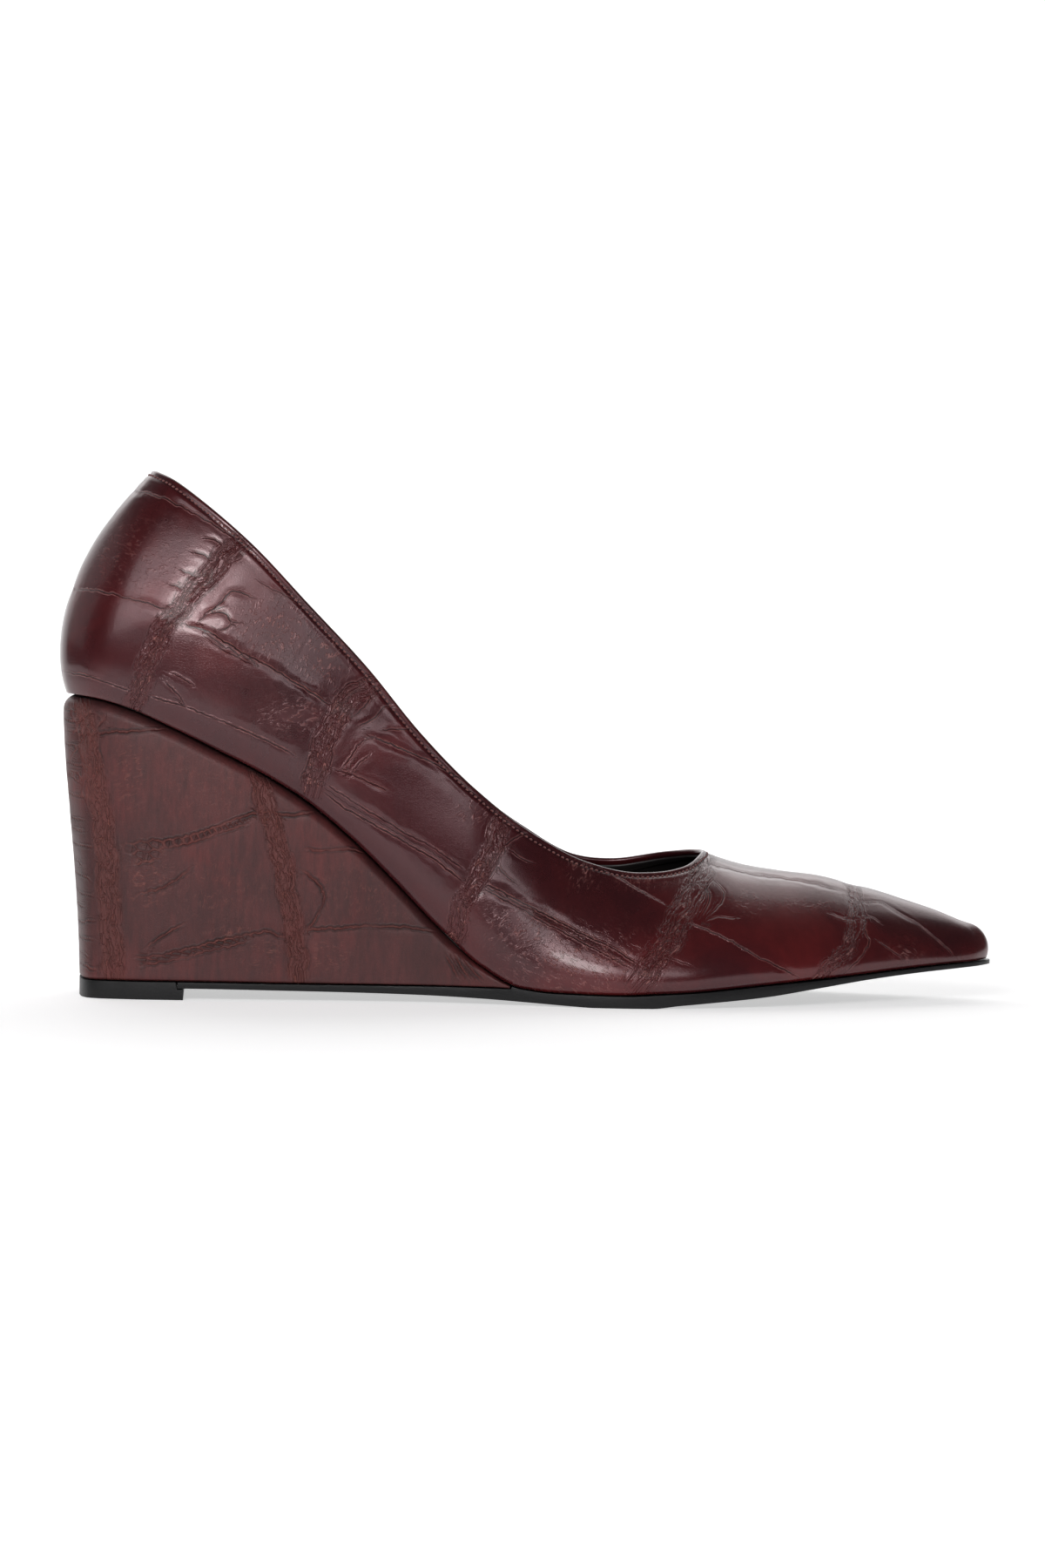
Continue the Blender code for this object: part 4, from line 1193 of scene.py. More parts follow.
def makeWedge(look):
    endPlace = placeAt(wedgeEnd, evenStep(shoe["wedgeLedge"]))
    even = np.linspace(0, 1, look["rows"] + 1)
    shares = even - look["bunched"] * np.sin(2 * np.pi * even)  # rows closer together at both folds
    walls = [wedgeWall(share, look) for share in shares]
    outer, inner, number, other = bothSides(walls, evenPlaces(0, endPlace, look["columns"]))
    count, tall = number.shape
    other[0] = number[0]
    flat = np.concatenate([outer.reshape(-1, 3), inner.reshape(-1, 3)])
    near = [grid(number[i], number[i + 1]) for i in range(count - 1)]
    far = [grid(other[i + 1], other[i]) for i in range(count - 1)]
    faces = np.concatenate(near + far)
    normals = pointNormals(flat, faces)
    if normals[number[count // 2, tall // 2]][1] > 0:
        normals = -normals
        faces = faces[:, ::-1]
    relief = Relief(flat)
    relief.addSide("outer", number.ravel())
    relief.addSide("inner", other.ravel())
    for side, lean in look["lean"].items():
        lines = [(depth, width, leanWith(lean, line)) for depth, width, line in wedgeLines]
        bands = [(width, strands, depth, leanWith(lean, line)) for width, strands, depth, line in wedgeBands]
        relief.pattern(side, lines, bands, wedgeFlecks, look)
    for k, z in enumerate(cornerHeights):  # uneven in length and slant
        reach = 4.6 + 1.6 * math.sin(k * 2.3)
        back = 2.4 + (78 - z) * 0.052
        line = [(back - 2.2, z + 0.6), (back, z), (back + reach, z - 0.8 + math.sin(k))]
        for side in ("outer", "inner"):
            relief.crease(side, line, look["cornerDepth"], look["cornerWidth"], seed=k)
    across = np.tile(shares, 2 * count)
    relief.height *= np.clip(np.minimum(across, 1 - across) / 0.03, 0, 1)
    moved = flat + normals * relief.height[:, None]
    caps = []
    for i in range(count - 1):
        caps += capPair(number, other, i)
    caps += endFaces(number, other, -1)
    # the collar mark here is painted shade along the top of the cover, where the upper overhangs it
    marks = relief.marks(np.clip((across - 0.94) / 0.05, 0, 1))
    piece = addPiece("wedge_cover", moved, faces.tolist() + caps, marks, ("wedge_heel",))
    fixNormals(piece)
    return piece


wedge = makeWedge(wedgeLook)
print("wedge made", len(wedge.data.polygons))


# fills inputs of a node, each with a fixed value or with another node's output
def fill(tree, node, inputs):
    for label, value in inputs.items():
        if isinstance(value, bpy.types.NodeSocket):
            tree.links.new(value, node.inputs[label])
        elif value is not None:
            node.inputs[label].default_value = value


def addNode(tree, kind, x, y, inputs=None, **settings):
    node = tree.nodes.new("ShaderNode" + kind)
    node.location = (x * 190, y * 170)
    for name, value in settings.items():
        setattr(node, name, value)
    fill(tree, node, inputs or {})
    return node


def mathNode(tree, x, y, operation, *values, clamp=False):
    node = addNode(tree, "Math", x, y, dict(enumerate(values)), operation=operation, use_clamp=clamp)
    return node.outputs[0]


def mixColour(tree, x, y, factor, first, second):
    node = addNode(tree, "Mix", x, y, data_type="RGBA")
    fill(tree, node, {"Factor": factor, "A": first, "B": second})
    return node.outputs["Result"]


def mapRange(tree, x, y, value, low, high, toLow=0.0, toHigh=1.0, smooth=False):
    inputs = {"Value": value, "From Min": low, "From Max": high, "To Min": toLow, "To Max": toHigh}
    kind = "SMOOTHSTEP" if smooth else "LINEAR"
    return addNode(tree, "MapRange", x, y, inputs, interpolation_type=kind).outputs["Result"]


def noise(tree, x, y, vector, scale, detail, rough=0.5, distortion=0.0):
    inputs = {"Vector": vector, "Scale": scale, "Detail": detail}
    inputs.update({"Roughness": rough, "Distortion": distortion})
    return addNode(tree, "TexNoise", x, y, inputs).outputs["Fac"]


def mapping(tree, x, y, vector, scale=(1.0, 1.0, 1.0), shift=(0.0, 0.0, 0.0)):
    return addNode(tree, "Mapping", x, y, {"Vector": vector, "Scale": scale, "Location": shift}).outputs[0]


def bumpNode(tree, x, y, height, strength, distance):
    inputs = {"Height": height, "Strength": strength, "Distance": distance}
    return addNode(tree, "Bump", x, y, inputs).outputs["Normal"]


def newGroup(name, inputs, outputs):
    kinds = {"vector": "NodeSocketVector", "colour": "NodeSocketColor", "number": "NodeSocketFloat"}
    tree = bpy.data.node_groups.new(name, "ShaderNodeTree")
    for way, sockets in (("INPUT", inputs), ("OUTPUT", outputs)):
        for kind, labels in sockets.items():
            for label in labels:
                tree.interface.new_socket(name=label, in_out=way, socket_type=kinds[kind])
    entry, leave = tree.nodes.new("NodeGroupInput"), tree.nodes.new("NodeGroupOutput")
    entry.location, leave.location = (-950, 0), (1140, 0)
    return tree, entry.outputs, leave


def placeGroup(tree, group, x, y, inputs):
    node = addNode(tree, "Group", x, y, node_tree=group)
    fill(tree, node, inputs)
    return node.outputs


# hide grain: fine pores and a softer pebble, as a height
def makeHideGrain():
    tree, given, leave = newGroup(
        "hideGrain", {"vector": ["Vector"], "number": ["Pore Scale", "Pebble Scale"]}, {"number": ["Height"]})
    pores = addNode(tree, "TexVoronoi", -3, 1, feature="DISTANCE_TO_EDGE")
    fill(tree, pores, {"Vector": given["Vector"], "Scale": given["Pore Scale"], "Randomness": 1.0})
    edge = mapRange(tree, -1, 1, pores.outputs["Distance"], 0.0, 0.18)
    pebble = noise(tree, -3, -1, given["Vector"], given["Pebble Scale"], 3.0, 0.6)
    finer = mathNode(tree, -4, -2.4, "MULTIPLY", given["Pebble Scale"], 3.1)
    wrinkle = noise(tree, -3, -2.4, given["Vector"], finer, 2.0, 0.5, 0.8)
    coarse = mathNode(tree, 1, 0, "MULTIPLY_ADD", edge, 0.45, pebble)
    small = mathNode(tree, 0.6, -2.4, "MULTIPLY", wrinkle, 0.5)
    fill(tree, leave, {"Height": mathNode(tree, 3, 0, "ADD", coarse, small)})
    return tree


# hand-rubbed dye: broad patches and brushed streaks
def makeRubbedDye():
    numbers = ["Patch Scale", "Streak Scale", "Warm Amount", "Deep Amount", "Streak Amount"]
    tree, given, leave = newGroup(
        "rubbedDye", {"vector": ["Vector"], "colour": ["Base", "Deep", "Warm"], "number": numbers},
        {"colour": ["Color"], "number": ["Patch"]})
    shifted = mapping(tree, -4, 0.4, given["Vector"], shift=(3.1, 1.7, 0.4))
    stretched = mapping(tree, -4, -1.4, given["Vector"], (2.6, 2.6, 0.5))
    broad = noise(tree, -3, 2, given["Vector"], given["Patch Scale"], 4.0, 0.55, 0.6)
    second = noise(tree, -3, 0.4, shifted, given["Patch Scale"], 5.0, 0.6, 0.3)
    streak = noise(tree, -3, -1.4, stretched, given["Streak Scale"], 6.0, 0.7)
    layers = (
        (broad, 0.46, 0.66, "Warm Amount", "Warm"),
        (second, 0.42, 0.68, "Deep Amount", "Deep"),
        (streak, 0.35, 0.70, "Streak Amount", "Deep"),
    )
    colour = given["Base"]
    for k, (source, low, high, amount, dye) in enumerate(layers):
        ranged = mapRange(tree, -1.6, 2 - 1.7 * k, source, low, high)
        mask = mathNode(tree, -0.4, 2 - 1.7 * k, "MULTIPLY", ranged, given[amount])
        colour = mixColour(tree, 1 + 1.4 * k, 1 - 0.4 * k, mask, colour, given[dye])
    fill(tree, leave, {"Color": colour, "Patch": broad})
    return tree


# creases: the Trough mask darkens towards the dark colour, and the Ridge mask lightens in broken patches
def makeCreaseShadeAndWear():
    numbers = ["Trough", "Ridge", "Dark Amount", "Rub And Glint Amount"]
    tree, given, leave = newGroup(
        "creaseShadeAndWear", {"vector": ["Vector"], "colour": ["Color", "Dark", "Rub And Glint"], "number": numbers},
        {"colour": ["Color"]})
    broken = noise(tree, -3, -1.5, given["Vector"], 420.0, 3.0, 0.6)
    gaps = mapRange(tree, -1.6, -1.5, broken, 0.35, 0.62, 0.25)
    dark = mathNode(tree, -1.6, 1, "MULTIPLY", given["Trough"], given["Dark Amount"])
    rubAndGlint = mathNode(tree, -1.6, 0, "MULTIPLY", given["Ridge"], given["Rub And Glint Amount"])
    rubAndGlintBroken = mathNode(tree, -0.2, 0, "MULTIPLY", rubAndGlint, gaps)
    banks = mixColour(tree, 1, 1, rubAndGlintBroken, given["Color"], given["Rub And Glint"])
    fill(tree, leave, {"Color": mixColour(tree, 2.6, 0.6, dark, banks, given["Dark"])})
    return tree


# a crease seen close: sharp trough and raised banks, from the signed distance to its line
def makeCreaseProfile():
    tree, given, leave = newGroup(
        "creaseProfile", {"vector": ["Vector"], "number": ["Gap", "Line", "Width", "Ragged"]},
        {"number": ["Trough", "Bank", "Height"]})
    wander = noise(tree, -4, 1, given["Vector"], 520.0, 3.0, 0.65)
    centred = mathNode(tree, -3, 1, "SUBTRACT", wander, 0.5)
    ragged = mathNode(tree, -2, 1, "MULTIPLY", centred, given["Ragged"])
    size = mathNode(tree, 0, 0, "ABSOLUTE", mathNode(tree, -1, 0, "ADD", given["Gap"], ragged))
    ratio = mathNode(tree, 1, 0, "DIVIDE", size, given["Width"])
    inside = mapRange(tree, 2, 1, ratio, 0.0, 1.1, 1.0, 0.0, smooth=True)
    rising = mapRange(tree, 2, 0, ratio, 0.7, 1.7, smooth=True)
    falling = mapRange(tree, 2, -1, ratio, 1.8, 3.0, 1.0, 0.0, smooth=True)
    beside = mathNode(tree, 3, -0.4, "MULTIPLY", rising, falling)
    trough = mathNode(tree, 4, 1, "MULTIPLY", inside, given["Line"])
    bank = mathNode(tree, 4, -0.4, "MULTIPLY", beside, given["Line"])
    bankUp = mathNode(tree, 4.6, -2, "MULTIPLY", bank, 0.45)
    height = mathNode(tree, 5.2, 0.4, "SUBTRACT", bankUp, trough)
    fill(tree, leave, {"Trough": trough, "Bank": bank, "Height": height})
    return tree


# fine strands that wander along a wrinkle band, part and meet again
def makeStrands():
    tree, given, leave = newGroup(
        "strands", {"number": ["Across", "Run", "Band", "Density"]}, {"number": ["Height", "Mask", "Glint"]})
    flat = addNode(tree, "CombineXYZ", -4, 0, {"X": given["Across"], "Y": given["Run"]}).outputs[0]
    sets = (  # row, stretch, place, sway, spread
        (3, (0.50, 0.15, 1.0), (0.0, 0.0, 0.0), 13.0, 1.0),
        (0, (0.42, 0.20, 1.0), (7.3, 2.1, 0.0), 15.0, 0.71),
    )
    crests = []
    for row, stretch, place, sway, spread in sets:
        wander = noise(tree, -2.2, row, mapping(tree, -3, row, flat, stretch, place), 1.0, 3.0, 0.55)
        turn = mathNode(tree, -1.4, row, "MULTIPLY", wander, sway)
        pace = mathNode(tree, -2.2, row - 1, "MULTIPLY", given["Density"], spread)
        phase = mathNode(tree, -0.6, row, "MULTIPLY_ADD", given["Across"], pace, turn)
        size = mathNode(tree, 0.9, row, "ABSOLUTE", mathNode(tree, 0.2, row, "SINE", phase))
        flipped = mathNode(tree, 1.6, row, "SUBTRACT", 1.0, size)
        crests.append(mathNode(tree, 2.3, row, "POWER", flipped, 2.4))
    both = mathNode(tree, 3, 1, "MAXIMUM", *crests)
    # strands fade in and out, and the band has no clean edge
    fade = mapRange(tree, 2, -2.4, noise(tree, 1, -2.4, flat, 0.42, 3.0, 0.6), 0.36, 0.62, 0.25)
    torn = mathNode(tree, 2, -4, "SUBTRACT", noise(tree, 1, -4, flat, 0.9, 4.0, 0.7), 0.5)
    ragged = mathNode(tree, 3, -4, "MULTIPLY_ADD", torn, 1.3, given["Band"])
    edge = mapRange(tree, 4, -4, ragged, 0.10, 0.95, smooth=True)
    faded = mathNode(tree, 4, 1, "MULTIPLY", both, fade)
    masked = mathNode(tree, 5, 1, "MULTIPLY", faded, edge)
    shine = mapRange(tree, 5, 3, masked, 0.45, 0.9, smooth=True)
    fill(tree, leave, {"Height": masked, "Mask": edge, "Glint": shine})
    return tree


# hairlines: short thin marks along the slant of a patch
def makeHairlines():
    tree, given, leave = newGroup(
        "hairlines", {"number": ["Across", "Run", "Patch"]}, {"number": ["Height"]})
    flat = addNode(tree, "CombineXYZ", -4, 0, {"X": given["Across"], "Y": given["Run"]}).outputs[0]
    stretched = mapping(tree, -3, 1, flat, (0.80, 0.26, 1.0))
    centred = mathNode(tree, -1, 1, "SUBTRACT", noise(tree, -2, 1, stretched, 1.0, 2.0, 0.5, 0.4), 0.5)
    size = mathNode(tree, 0, 1, "ABSOLUTE", centred)
    thin = mapRange(tree, 1, 1, size, 0.0, 0.06, 1.0, 0.0, smooth=True)
    broken = mapRange(tree, 0, -1, noise(tree, -2, -1, flat, 0.55, 3.0, 0.6), 0.46, 0.58)
    some = mathNode(tree, 2, 0, "MULTIPLY", thin, broken)
    fill(tree, leave, {"Height": mathNode(tree, 3, 0, "MULTIPLY", some, given["Patch"])})
    return tree


hideGrain, rubbedDye, creaseShadeAndWear = makeHideGrain(), makeRubbedDye(), makeCreaseShadeAndWear()
creaseProfile, strands, hairlines = makeCreaseProfile(), makeStrands(), makeHairlines()


def newMaterial(name):
    material = bpy.data.materials.new(name)
    material.use_nodes = True
    tree = material.node_tree
    shader = tree.nodes["Principled BSDF"]
    shader.location = (1500, 0)
    tree.nodes["Material Output"].location = (1800, 0)
    return material, tree, shader


# embossed hide, for the upper and for the wedge's cover
def embossedHide(name, look):
    material, tree, shader = newMaterial(name)
    place = addNode(tree, "TexCoord", -6, 0).outputs["Object"]
    marks = {}
    for k, label in enumerate(("gap", "line", "band", "across", "run", "fleck", "collar")):
        marks[label] = addNode(tree, "Attribute", -6, -1.4 - k, attribute_name=label).outputs["Fac"]
    along = {"Across": marks["across"], "Run": marks["run"]}
    dye = placeGroup(tree, rubbedDye, -3, 2, {"Vector": place, **look["dye"]})
    grain = placeGroup(tree, hideGrain, -3, -1, {"Vector": place, **look["grain"]})
    band = {**along, "Band": marks["band"], "Density": look["strandDensity"]}
    strand = placeGroup(tree, strands, -3, -3, band)
    hair = placeGroup(tree, hairlines, -3, -4.4, {**along, "Patch": marks["fleck"]})["Height"]
    crease = {"Vector": place, "Gap": marks["gap"], "Line": marks["line"], **look["crease"]}
    profile = placeGroup(tree, creaseProfile, -3, 0.4, crease)
    # on the upper the darkened troughs are painted shade and the lighter banks part wear, part painted
    # highlight; on the wedge the banks are darkened and the troughs lightened
    lightened, darkened = ("Bank", "Trough") if look["darkTroughs"] else ("Trough", "Bank")
    rubAndGlint = {"Vector": place, "Color": dye["Color"], "Trough": profile[darkened], "Ridge": profile[lightened]}
    shadeAndWear = placeGroup(tree, creaseShadeAndWear, 0, 2, {**rubAndGlint, **look["shadeAndWear"]})
    # colour: bands tinted, painted highlights on the strands' crests and on the hairlines, and painted shade
    # along the rim, which is the stitch groove of the upper and the top of the wedge's cover under the
    # upper's overhang
    lightest = mathNode(tree, 1.8, 0.8, "MAXIMUM", strand["Glint"], hair)
    layers = (
        (strand["Mask"], look["bandAmount"], look["bandColour"]),
        (lightest, look["glintAmount"], look["shadeAndWear"]["Rub And Glint"]),
        (marks["collar"], look["rimShadeAmount"], look["shadeAndWear"]["Dark"]),
    )
    colour = shadeAndWear["Color"]
    for x, (mask, amount, tint) in enumerate(layers, 3):
        colour = mixColour(tree, x, 2, mathNode(tree, x - 1, 0.8, "MULTIPLY", mask, amount), colour, tint)
    # roughness: duller where the dye is patchy, in the troughs, in the bands and round the hairlines
    rough = mapRange(tree, 0, 0, dye["Patch"], 0.3, 0.7, look["roughLow"], look["roughHigh"])
    dulled = (
        (profile["Trough"], look["troughRough"]), (strand["Mask"], look["bandRough"]),
        (marks["fleck"], look["patchRough"]),
    )
    for x, (mask, amount) in enumerate(dulled, 3):
        rough = mathNode(tree, x, 0, "MULTIPLY_ADD", mask, amount, rough, clamp=True)
    # coat: less wax in the bands
    coat = mapRange(tree, 3, -1, strand["Mask"], 0.0, 1.0, look["coat"], look["coat"] * look["bandCoat"])
    # height: grain all over, then creases, hairlines and strands
    height = mathNode(tree, 0, -2, "MULTIPLY", grain["Height"], look["grainHeight"])
    raised = (
        (profile["Height"], look["creaseHeight"]), (hair, look["hairHeight"]),
        (strand["Height"], look["strandHeight"]),
    )
    for x, (source, amount) in enumerate(raised, 1):
        height = mathNode(tree, x, -3, "MULTIPLY_ADD", source, amount, height)
    fill(tree, shader, {
        "Base Color": colour, "Roughness": rough, "Coat Weight": coat, "Coat Roughness": look["coatRough"],
        "Specular IOR Level": look["specular"], "Specular Tint": look["specularTint"],
        "Normal": bumpNode(tree, 4, -2, height, 1.0, 0.001),
    })
    return material


upperHide = {
    "dye": {
        "Base": (0.048, 0.0078, 0.0098, 1), "Deep": (0.019, 0.0040, 0.0050, 1),
        "Warm": (0.125, 0.0120, 0.0125, 1),
        "Patch Scale": 22.0, "Streak Scale": 120.0,
        "Warm Amount": 0.7, "Deep Amount": 0.55, "Streak Amount": 0.22,
    },
    "shadeAndWear": {
        "Dark": (0.010, 0.003, 0.004, 1), "Rub And Glint": (0.36, 0.142, 0.128, 1),
        "Dark Amount": 0.75, "Rub And Glint Amount": 0.55,
    },
    "grain": {"Pore Scale": 1700.0, "Pebble Scale": 300.0}, "crease": {"Width": 0.20, "Ragged": 0.5},
    "darkTroughs": True, "bandAmount": 0.35, "bandColour": (0.075, 0.0125, 0.0130, 1),
    "glintAmount": 0.75, "rimShadeAmount": 0.75, "strandDensity": 2.4,
    "roughLow": 0.17, "roughHigh": 0.27, "troughRough": 0.10, "bandRough": 0.0, "patchRough": 0.13,
    "coat": 0.24, "coatRough": 0.12, "bandCoat": 0.45,
    "specular": 0.6, "specularTint": (1.0, 0.70, 0.73, 1),
    "grainHeight": 0.018, "creaseHeight": 0.32, "hairHeight": 0.20, "strandHeight": 0.36,
}
wedgeHide = {
    "dye": {
        "Base": (0.086, 0.0195, 0.0190, 1), "Deep": (0.026, 0.0080, 0.0088, 1),
        "Warm": (0.130, 0.0200, 0.0185, 1),
        "Patch Scale": 34.0, "Streak Scale": 210.0,
        "Warm Amount": 0.7, "Deep Amount": 0.65, "Streak Amount": 0.75,
    },
    "shadeAndWear": {
        "Dark": (0.014, 0.005, 0.005, 1), "Rub And Glint": (0.23, 0.072, 0.056, 1),
        "Dark Amount": 0.8, "Rub And Glint Amount": 0.55,
    },
    "grain": {"Pore Scale": 1700.0, "Pebble Scale": 330.0}, "crease": {"Width": 0.34, "Ragged": 0.9},
    "darkTroughs": False, "bandAmount": 0.45, "bandColour": (0.125, 0.0310, 0.0250, 1),
    "glintAmount": 0.7, "rimShadeAmount": 0.85, "strandDensity": 2.5,
    "roughLow": 0.44, "roughHigh": 0.58, "troughRough": 0.10, "bandRough": 0.04, "patchRough": 0.0,
    "coat": 0.08, "coatRough": 0.32, "bandCoat": 0.8,
    "specular": 0.5, "specularTint": (1.0, 0.78, 0.78, 1),
    "grainHeight": 0.045, "creaseHeight": 0.30, "hairHeight": 0.12, "strandHeight": 0.45,
}


def dress(piece, material):
    piece.data.materials.clear()
    piece.data.materials.append(material)


dress(upper, embossedHide("oxbloodUpper", upperHide))
dress(wedge, embossedHide("oxbloodCover", wedgeHide))


# smooth black leather of the lining and the sock
plainDye = {
    "Patch Scale": 30.0, "Streak Scale": 200.0, "Warm Amount": 0.5, "Deep Amount": 0.5, "Streak Amount": 0.2,
}


def blackLeather(name, look):
    material, tree, shader = newMaterial(name)
    place = addNode(tree, "TexCoord", -6, 0).outputs["Object"]
    seam = addNode(tree, "Attribute", -6, -2, attribute_name="seam").outputs["Fac"]
    dye = placeGroup(tree, rubbedDye, -3, 2, {"Vector": place, **look["dye"], **plainDye})
    pores = {"Vector": place, "Pore Scale": look["poreScale"], "Pebble Scale": 500.0}
    grain = placeGroup(tree, hideGrain, -3, -1, pores)
    colour = mixColour(tree, 1, 2, mathNode(tree, -1, 0, "MULTIPLY", seam, 0.6), dye["Color"], look["seam"])
    rough = mapRange(tree, 0, 0, dye["Patch"], 0.3, 0.7, look["rough"] - 0.05, look["rough"] + 0.08)
    bump = bumpNode(tree, 3, -2, grain["Height"], look["bump"], 0.00006)
    fill(tree, shader, {"Base Color": colour, "Roughness": rough, "Normal": bump})
    return material


liningHide = {
    "dye": {
        "Base": (0.016, 0.013, 0.013, 1), "Deep": (0.009, 0.008, 0.008, 1), "Warm": (0.030, 0.022, 0.020, 1),
    },
    "seam": (0.10, 0.085, 0.075, 1), "poreScale": 1400.0, "rough": 0.42, "bump": 0.8,
}
sockHide = {
    "dye": {
        "Base": (0.014, 0.012, 0.012, 1), "Deep": (0.008, 0.007, 0.007, 1), "Warm": (0.024, 0.019, 0.018, 1),
    },
    "seam": (0.05, 0.045, 0.04, 1), "poreScale": 1200.0, "rough": 0.50, "bump": 0.8,
}
dress(lining, blackLeather("blackLining", liningHide))
dress(sock, blackLeather("blackSock", sockHide))


# thread: twisted burgundy strands
threadLook = {"shade": (0.10, 0.022, 0.022, 1), "light": (0.25, 0.075, 0.065, 1), "rough": 0.5, "sheen": 0.3}


def threadMaterial(look):
    material, tree, shader = newMaterial("collarThread")
    place = addNode(tree, "TexCoord", -5, 0).outputs["Object"]
    twist = addNode(tree, "TexWave", -3, -1, bands_direction="DIAGONAL")
    fill(tree, twist, {"Vector": place, "Scale": 3200.0, "Distortion": 1.0, "Detail": 1.0})
    speck = noise(tree, -3, 1, place, 900.0, 2.0)
    fill(tree, shader, {
        "Base Color": mixColour(tree, 0, 1, speck, look["shade"], look["light"]),
        "Normal": bumpNode(tree, 0, -1, twist.outputs["Fac"], 0.6, 0.00006),
        "Roughness": look["rough"], "Sheen Weight": look["sheen"],
    })
    return material


dress(stitches, threadMaterial(threadLook))


# black sole and lift: satin edge dye over leather board, rubber for the lift
soleHide = {
    "dark": (0.003, 0.003, 0.0032, 1), "light": (0.009, 0.009, 0.010, 1), "layering": 4.0,
    "fibreScale": 700.0, "roughLow": 0.30, "roughHigh": 0.44, "bump": 0.5, "specular": 0.3,
}
liftRubber = {
    "dark": (0.004, 0.004, 0.0042, 1), "light": (0.011, 0.011, 0.012, 1), "layering": 1.0,
    "fibreScale": 1400.0, "roughLow": 0.42, "roughHigh": 0.56, "bump": 0.7, "specular": 0.3,
}


def soleMaterial(name, look):
    material, tree, shader = newMaterial(name)
    place = addNode(tree, "TexCoord", -6, 0).outputs["Object"]
    layers = mapping(tree, -5, 0, place, (1.0, 1.0, look["layering"]))
    fibre = noise(tree, -3.6, 0, layers, look["fibreScale"], 5.0, 0.6)
    patch = noise(tree, -3.6, 2, place, 60.0, 4.0, 0.6)
    fill(tree, shader, {
        "Base Color": mixColour(tree, 0, 2, fibre, look["dark"], look["light"]),
        "Roughness": mapRange(tree, 0, 0, patch, 0.3, 0.7, look["roughLow"], look["roughHigh"]),
        "Normal": bumpNode(tree, 1, -2, fibre, look["bump"], 0.00008),
        "Specular IOR Level": look["specular"],
    })
    return material


dress(outsole, soleMaterial("blackSole", soleHide))
dress(heelLift, soleMaterial("blackRubber", liftRubber))
print("materials dressed")


# plain pale floor that sweeps up behind, and soft studio light
stageLook = {
    "colour": (0.80, 0.80, 0.805, 1), "shade": (0.788, 0.788, 0.792925, 1), "rough": 0.75, "specular": 0.2,
    "glow": 0.53, "front": -2.6, "near": 0.6, "back": 2.2, "half": 3.0, "sweep": 0.9, "height": 2.6,
    "steps": 16,
}


def makeStage(look):
    flat = [look["front"], -look["near"], 0.0, look["near"], look["back"] - look["sweep"]]
    profile = [(y, 0.0) for y in flat]
    for k in range(1, look["steps"] + 1):
        angle = math.pi / 2 * k / look["steps"]
        profile.append((flat[-1] + look["sweep"] * math.sin(angle), look["sweep"] * (1 - math.cos(angle))))
    profile.append((look["back"], look["height"]))
    across = np.linspace(-look["half"], look["half"], 13)
    points = np.array([(x, y, z) for y, z in profile for x in across])
    number = np.arange(len(points)).reshape(len(profile), len(across))
    faces = np.concatenate([grid(first, second) for first, second in zip(number[:-1], number[1:])])
    faces = faces[:, [0, 3, 2, 1]]
    mesh = bpy.data.meshes.new("stageFloor")
    mesh.from_pydata(points.tolist(), [], faces.tolist())
    mesh.shade_smooth()
    floor = bpy.data.objects.new("stageFloor", mesh)
    bpy.context.scene.collection.objects.link(floor)
    material, tree, shader = newMaterial("palePaper")
    speck = noise(tree, -3, 0, None, 40.0, 2.0)
    fill(tree, shader, {
        "Base Color": mixColour(tree, 0, 0, speck, look["colour"], look["shade"]),
        "Roughness": look["rough"], "Specular IOR Level": look["specular"],
        # the paper glows a little, a painted light that keeps shadows on it pale
        "Emission Color": (1.0, 1.0, 1.0, 1), "Emission Strength": look["glow"],
    })
    dress(floor, material)


makeStage(stageLook)

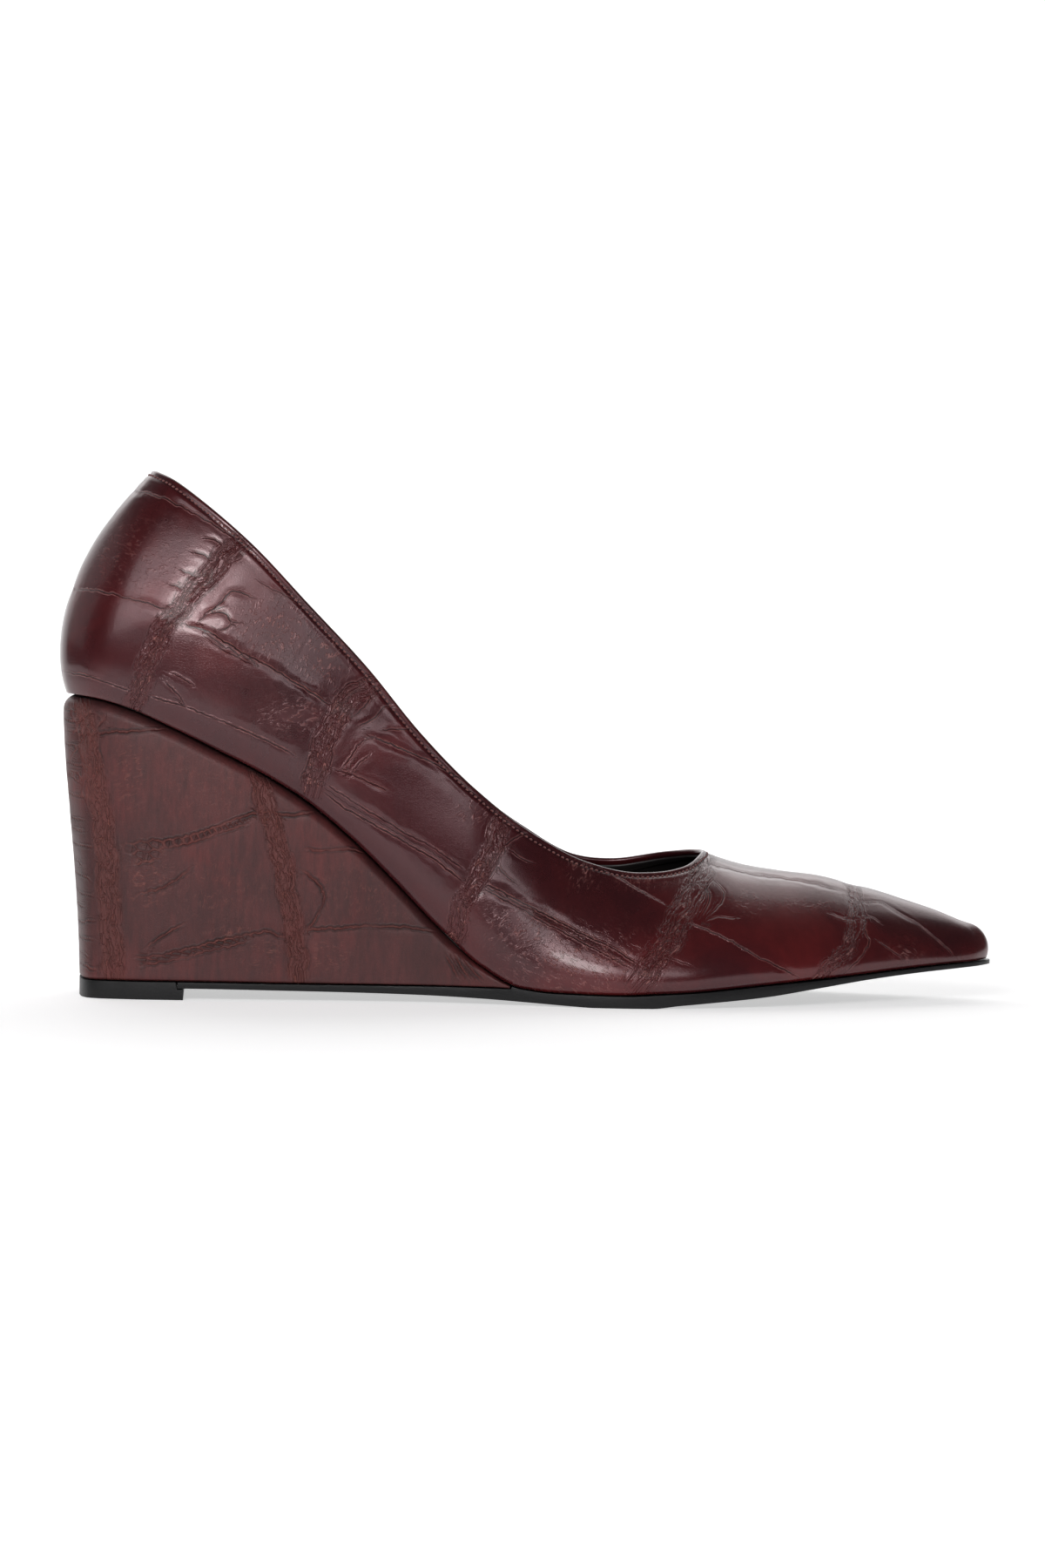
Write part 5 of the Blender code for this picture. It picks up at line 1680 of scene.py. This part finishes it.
# lights: name, place and aim in m, size, power, colour
studioLights = [
    ("backSoftbox", (0.0, 1.15, 1.25), (0.0, 0.0, 0.05), (2.4, 1.2), 10.5, (1.0, 0.99, 0.98)),
    ("frontSoftbox", (-0.36, -1.26, 0.61), (0.0, 0.0, 0.06), (1.7, 0.28), 4.7, (1.0, 0.98, 1.0)),
    ("heelFill", (-0.72, -1.02, 0.81), (0.0, 0.0, 0.06), (0.7, 0.30), 1.8, (1.0, 0.98, 1.0)),
    ("vampFill", (-0.07, -1.25, 0.81), (0.0, 0.0, 0.06), (0.75, 0.28), 0.6, (1.0, 0.98, 1.0)),
    ("heelHighlight", (-0.30, -1.15, 0.52), (-0.08, 0.0, 0.12), (0.26, 0.24), 3.6, (1.0, 0.99, 0.98)),
    ("leftCard", (-1.6, 0.40, 0.75), (-0.1, 0.0, 0.08), (1.2, 0.9), 1.6, (1.0, 1.0, 1.0)),
    ("backdropGlow", (0.0, 0.9, 1.4), (0.0, 2.2, 0.7), (2.8, 0.6), 13.0, (1.0, 1.0, 1.0)),
]


def addLight(name, place, aim, size, power, colour):
    data = bpy.data.lights.new(name, "AREA")
    data.shape = "RECTANGLE"
    data.size, data.size_y = size
    data.energy = power
    data.color = colour
    made = bpy.data.objects.new(name, data)
    made.location = place
    made.rotation_euler = (Vector(aim) - Vector(place)).to_track_quat("-Z", "Y").to_euler()
    made.visible_camera = False
    bpy.context.scene.collection.objects.link(made)


for light in studioLights:
    addLight(*light)


# dim room all round, seen pale where the paper ends
roomLook = {
    "dim": (0.92, 0.93, 0.95, 1), "dimStrength": 0.05, "pale": (0.92, 0.92, 0.925, 1), "paleStrength": 1.0,
}


def makeRoom(look):
    world = bpy.data.worlds.new("studio")
    world.use_nodes = True
    room = world.node_tree
    dim = room.nodes["Background"]
    fill(room, dim, {"Color": look["dim"], "Strength": look["dimStrength"]})
    pale = addNode(room, "Background", 0, -1, {"Color": look["pale"], "Strength": look["paleStrength"]})
    seen = addNode(room, "LightPath", -2, 1).outputs["Is Camera Ray"]
    choose = addNode(room, "MixShader", 2, 0, {0: seen, 1: dim.outputs[0], 2: pale.outputs[0]})
    fill(room, room.nodes["World Output"], {"Surface": choose.outputs[0]})
    bpy.context.scene.world = world


makeRoom(roomLook)
bpy.context.scene.view_settings.view_transform = "Standard"
print("stage and lights set")
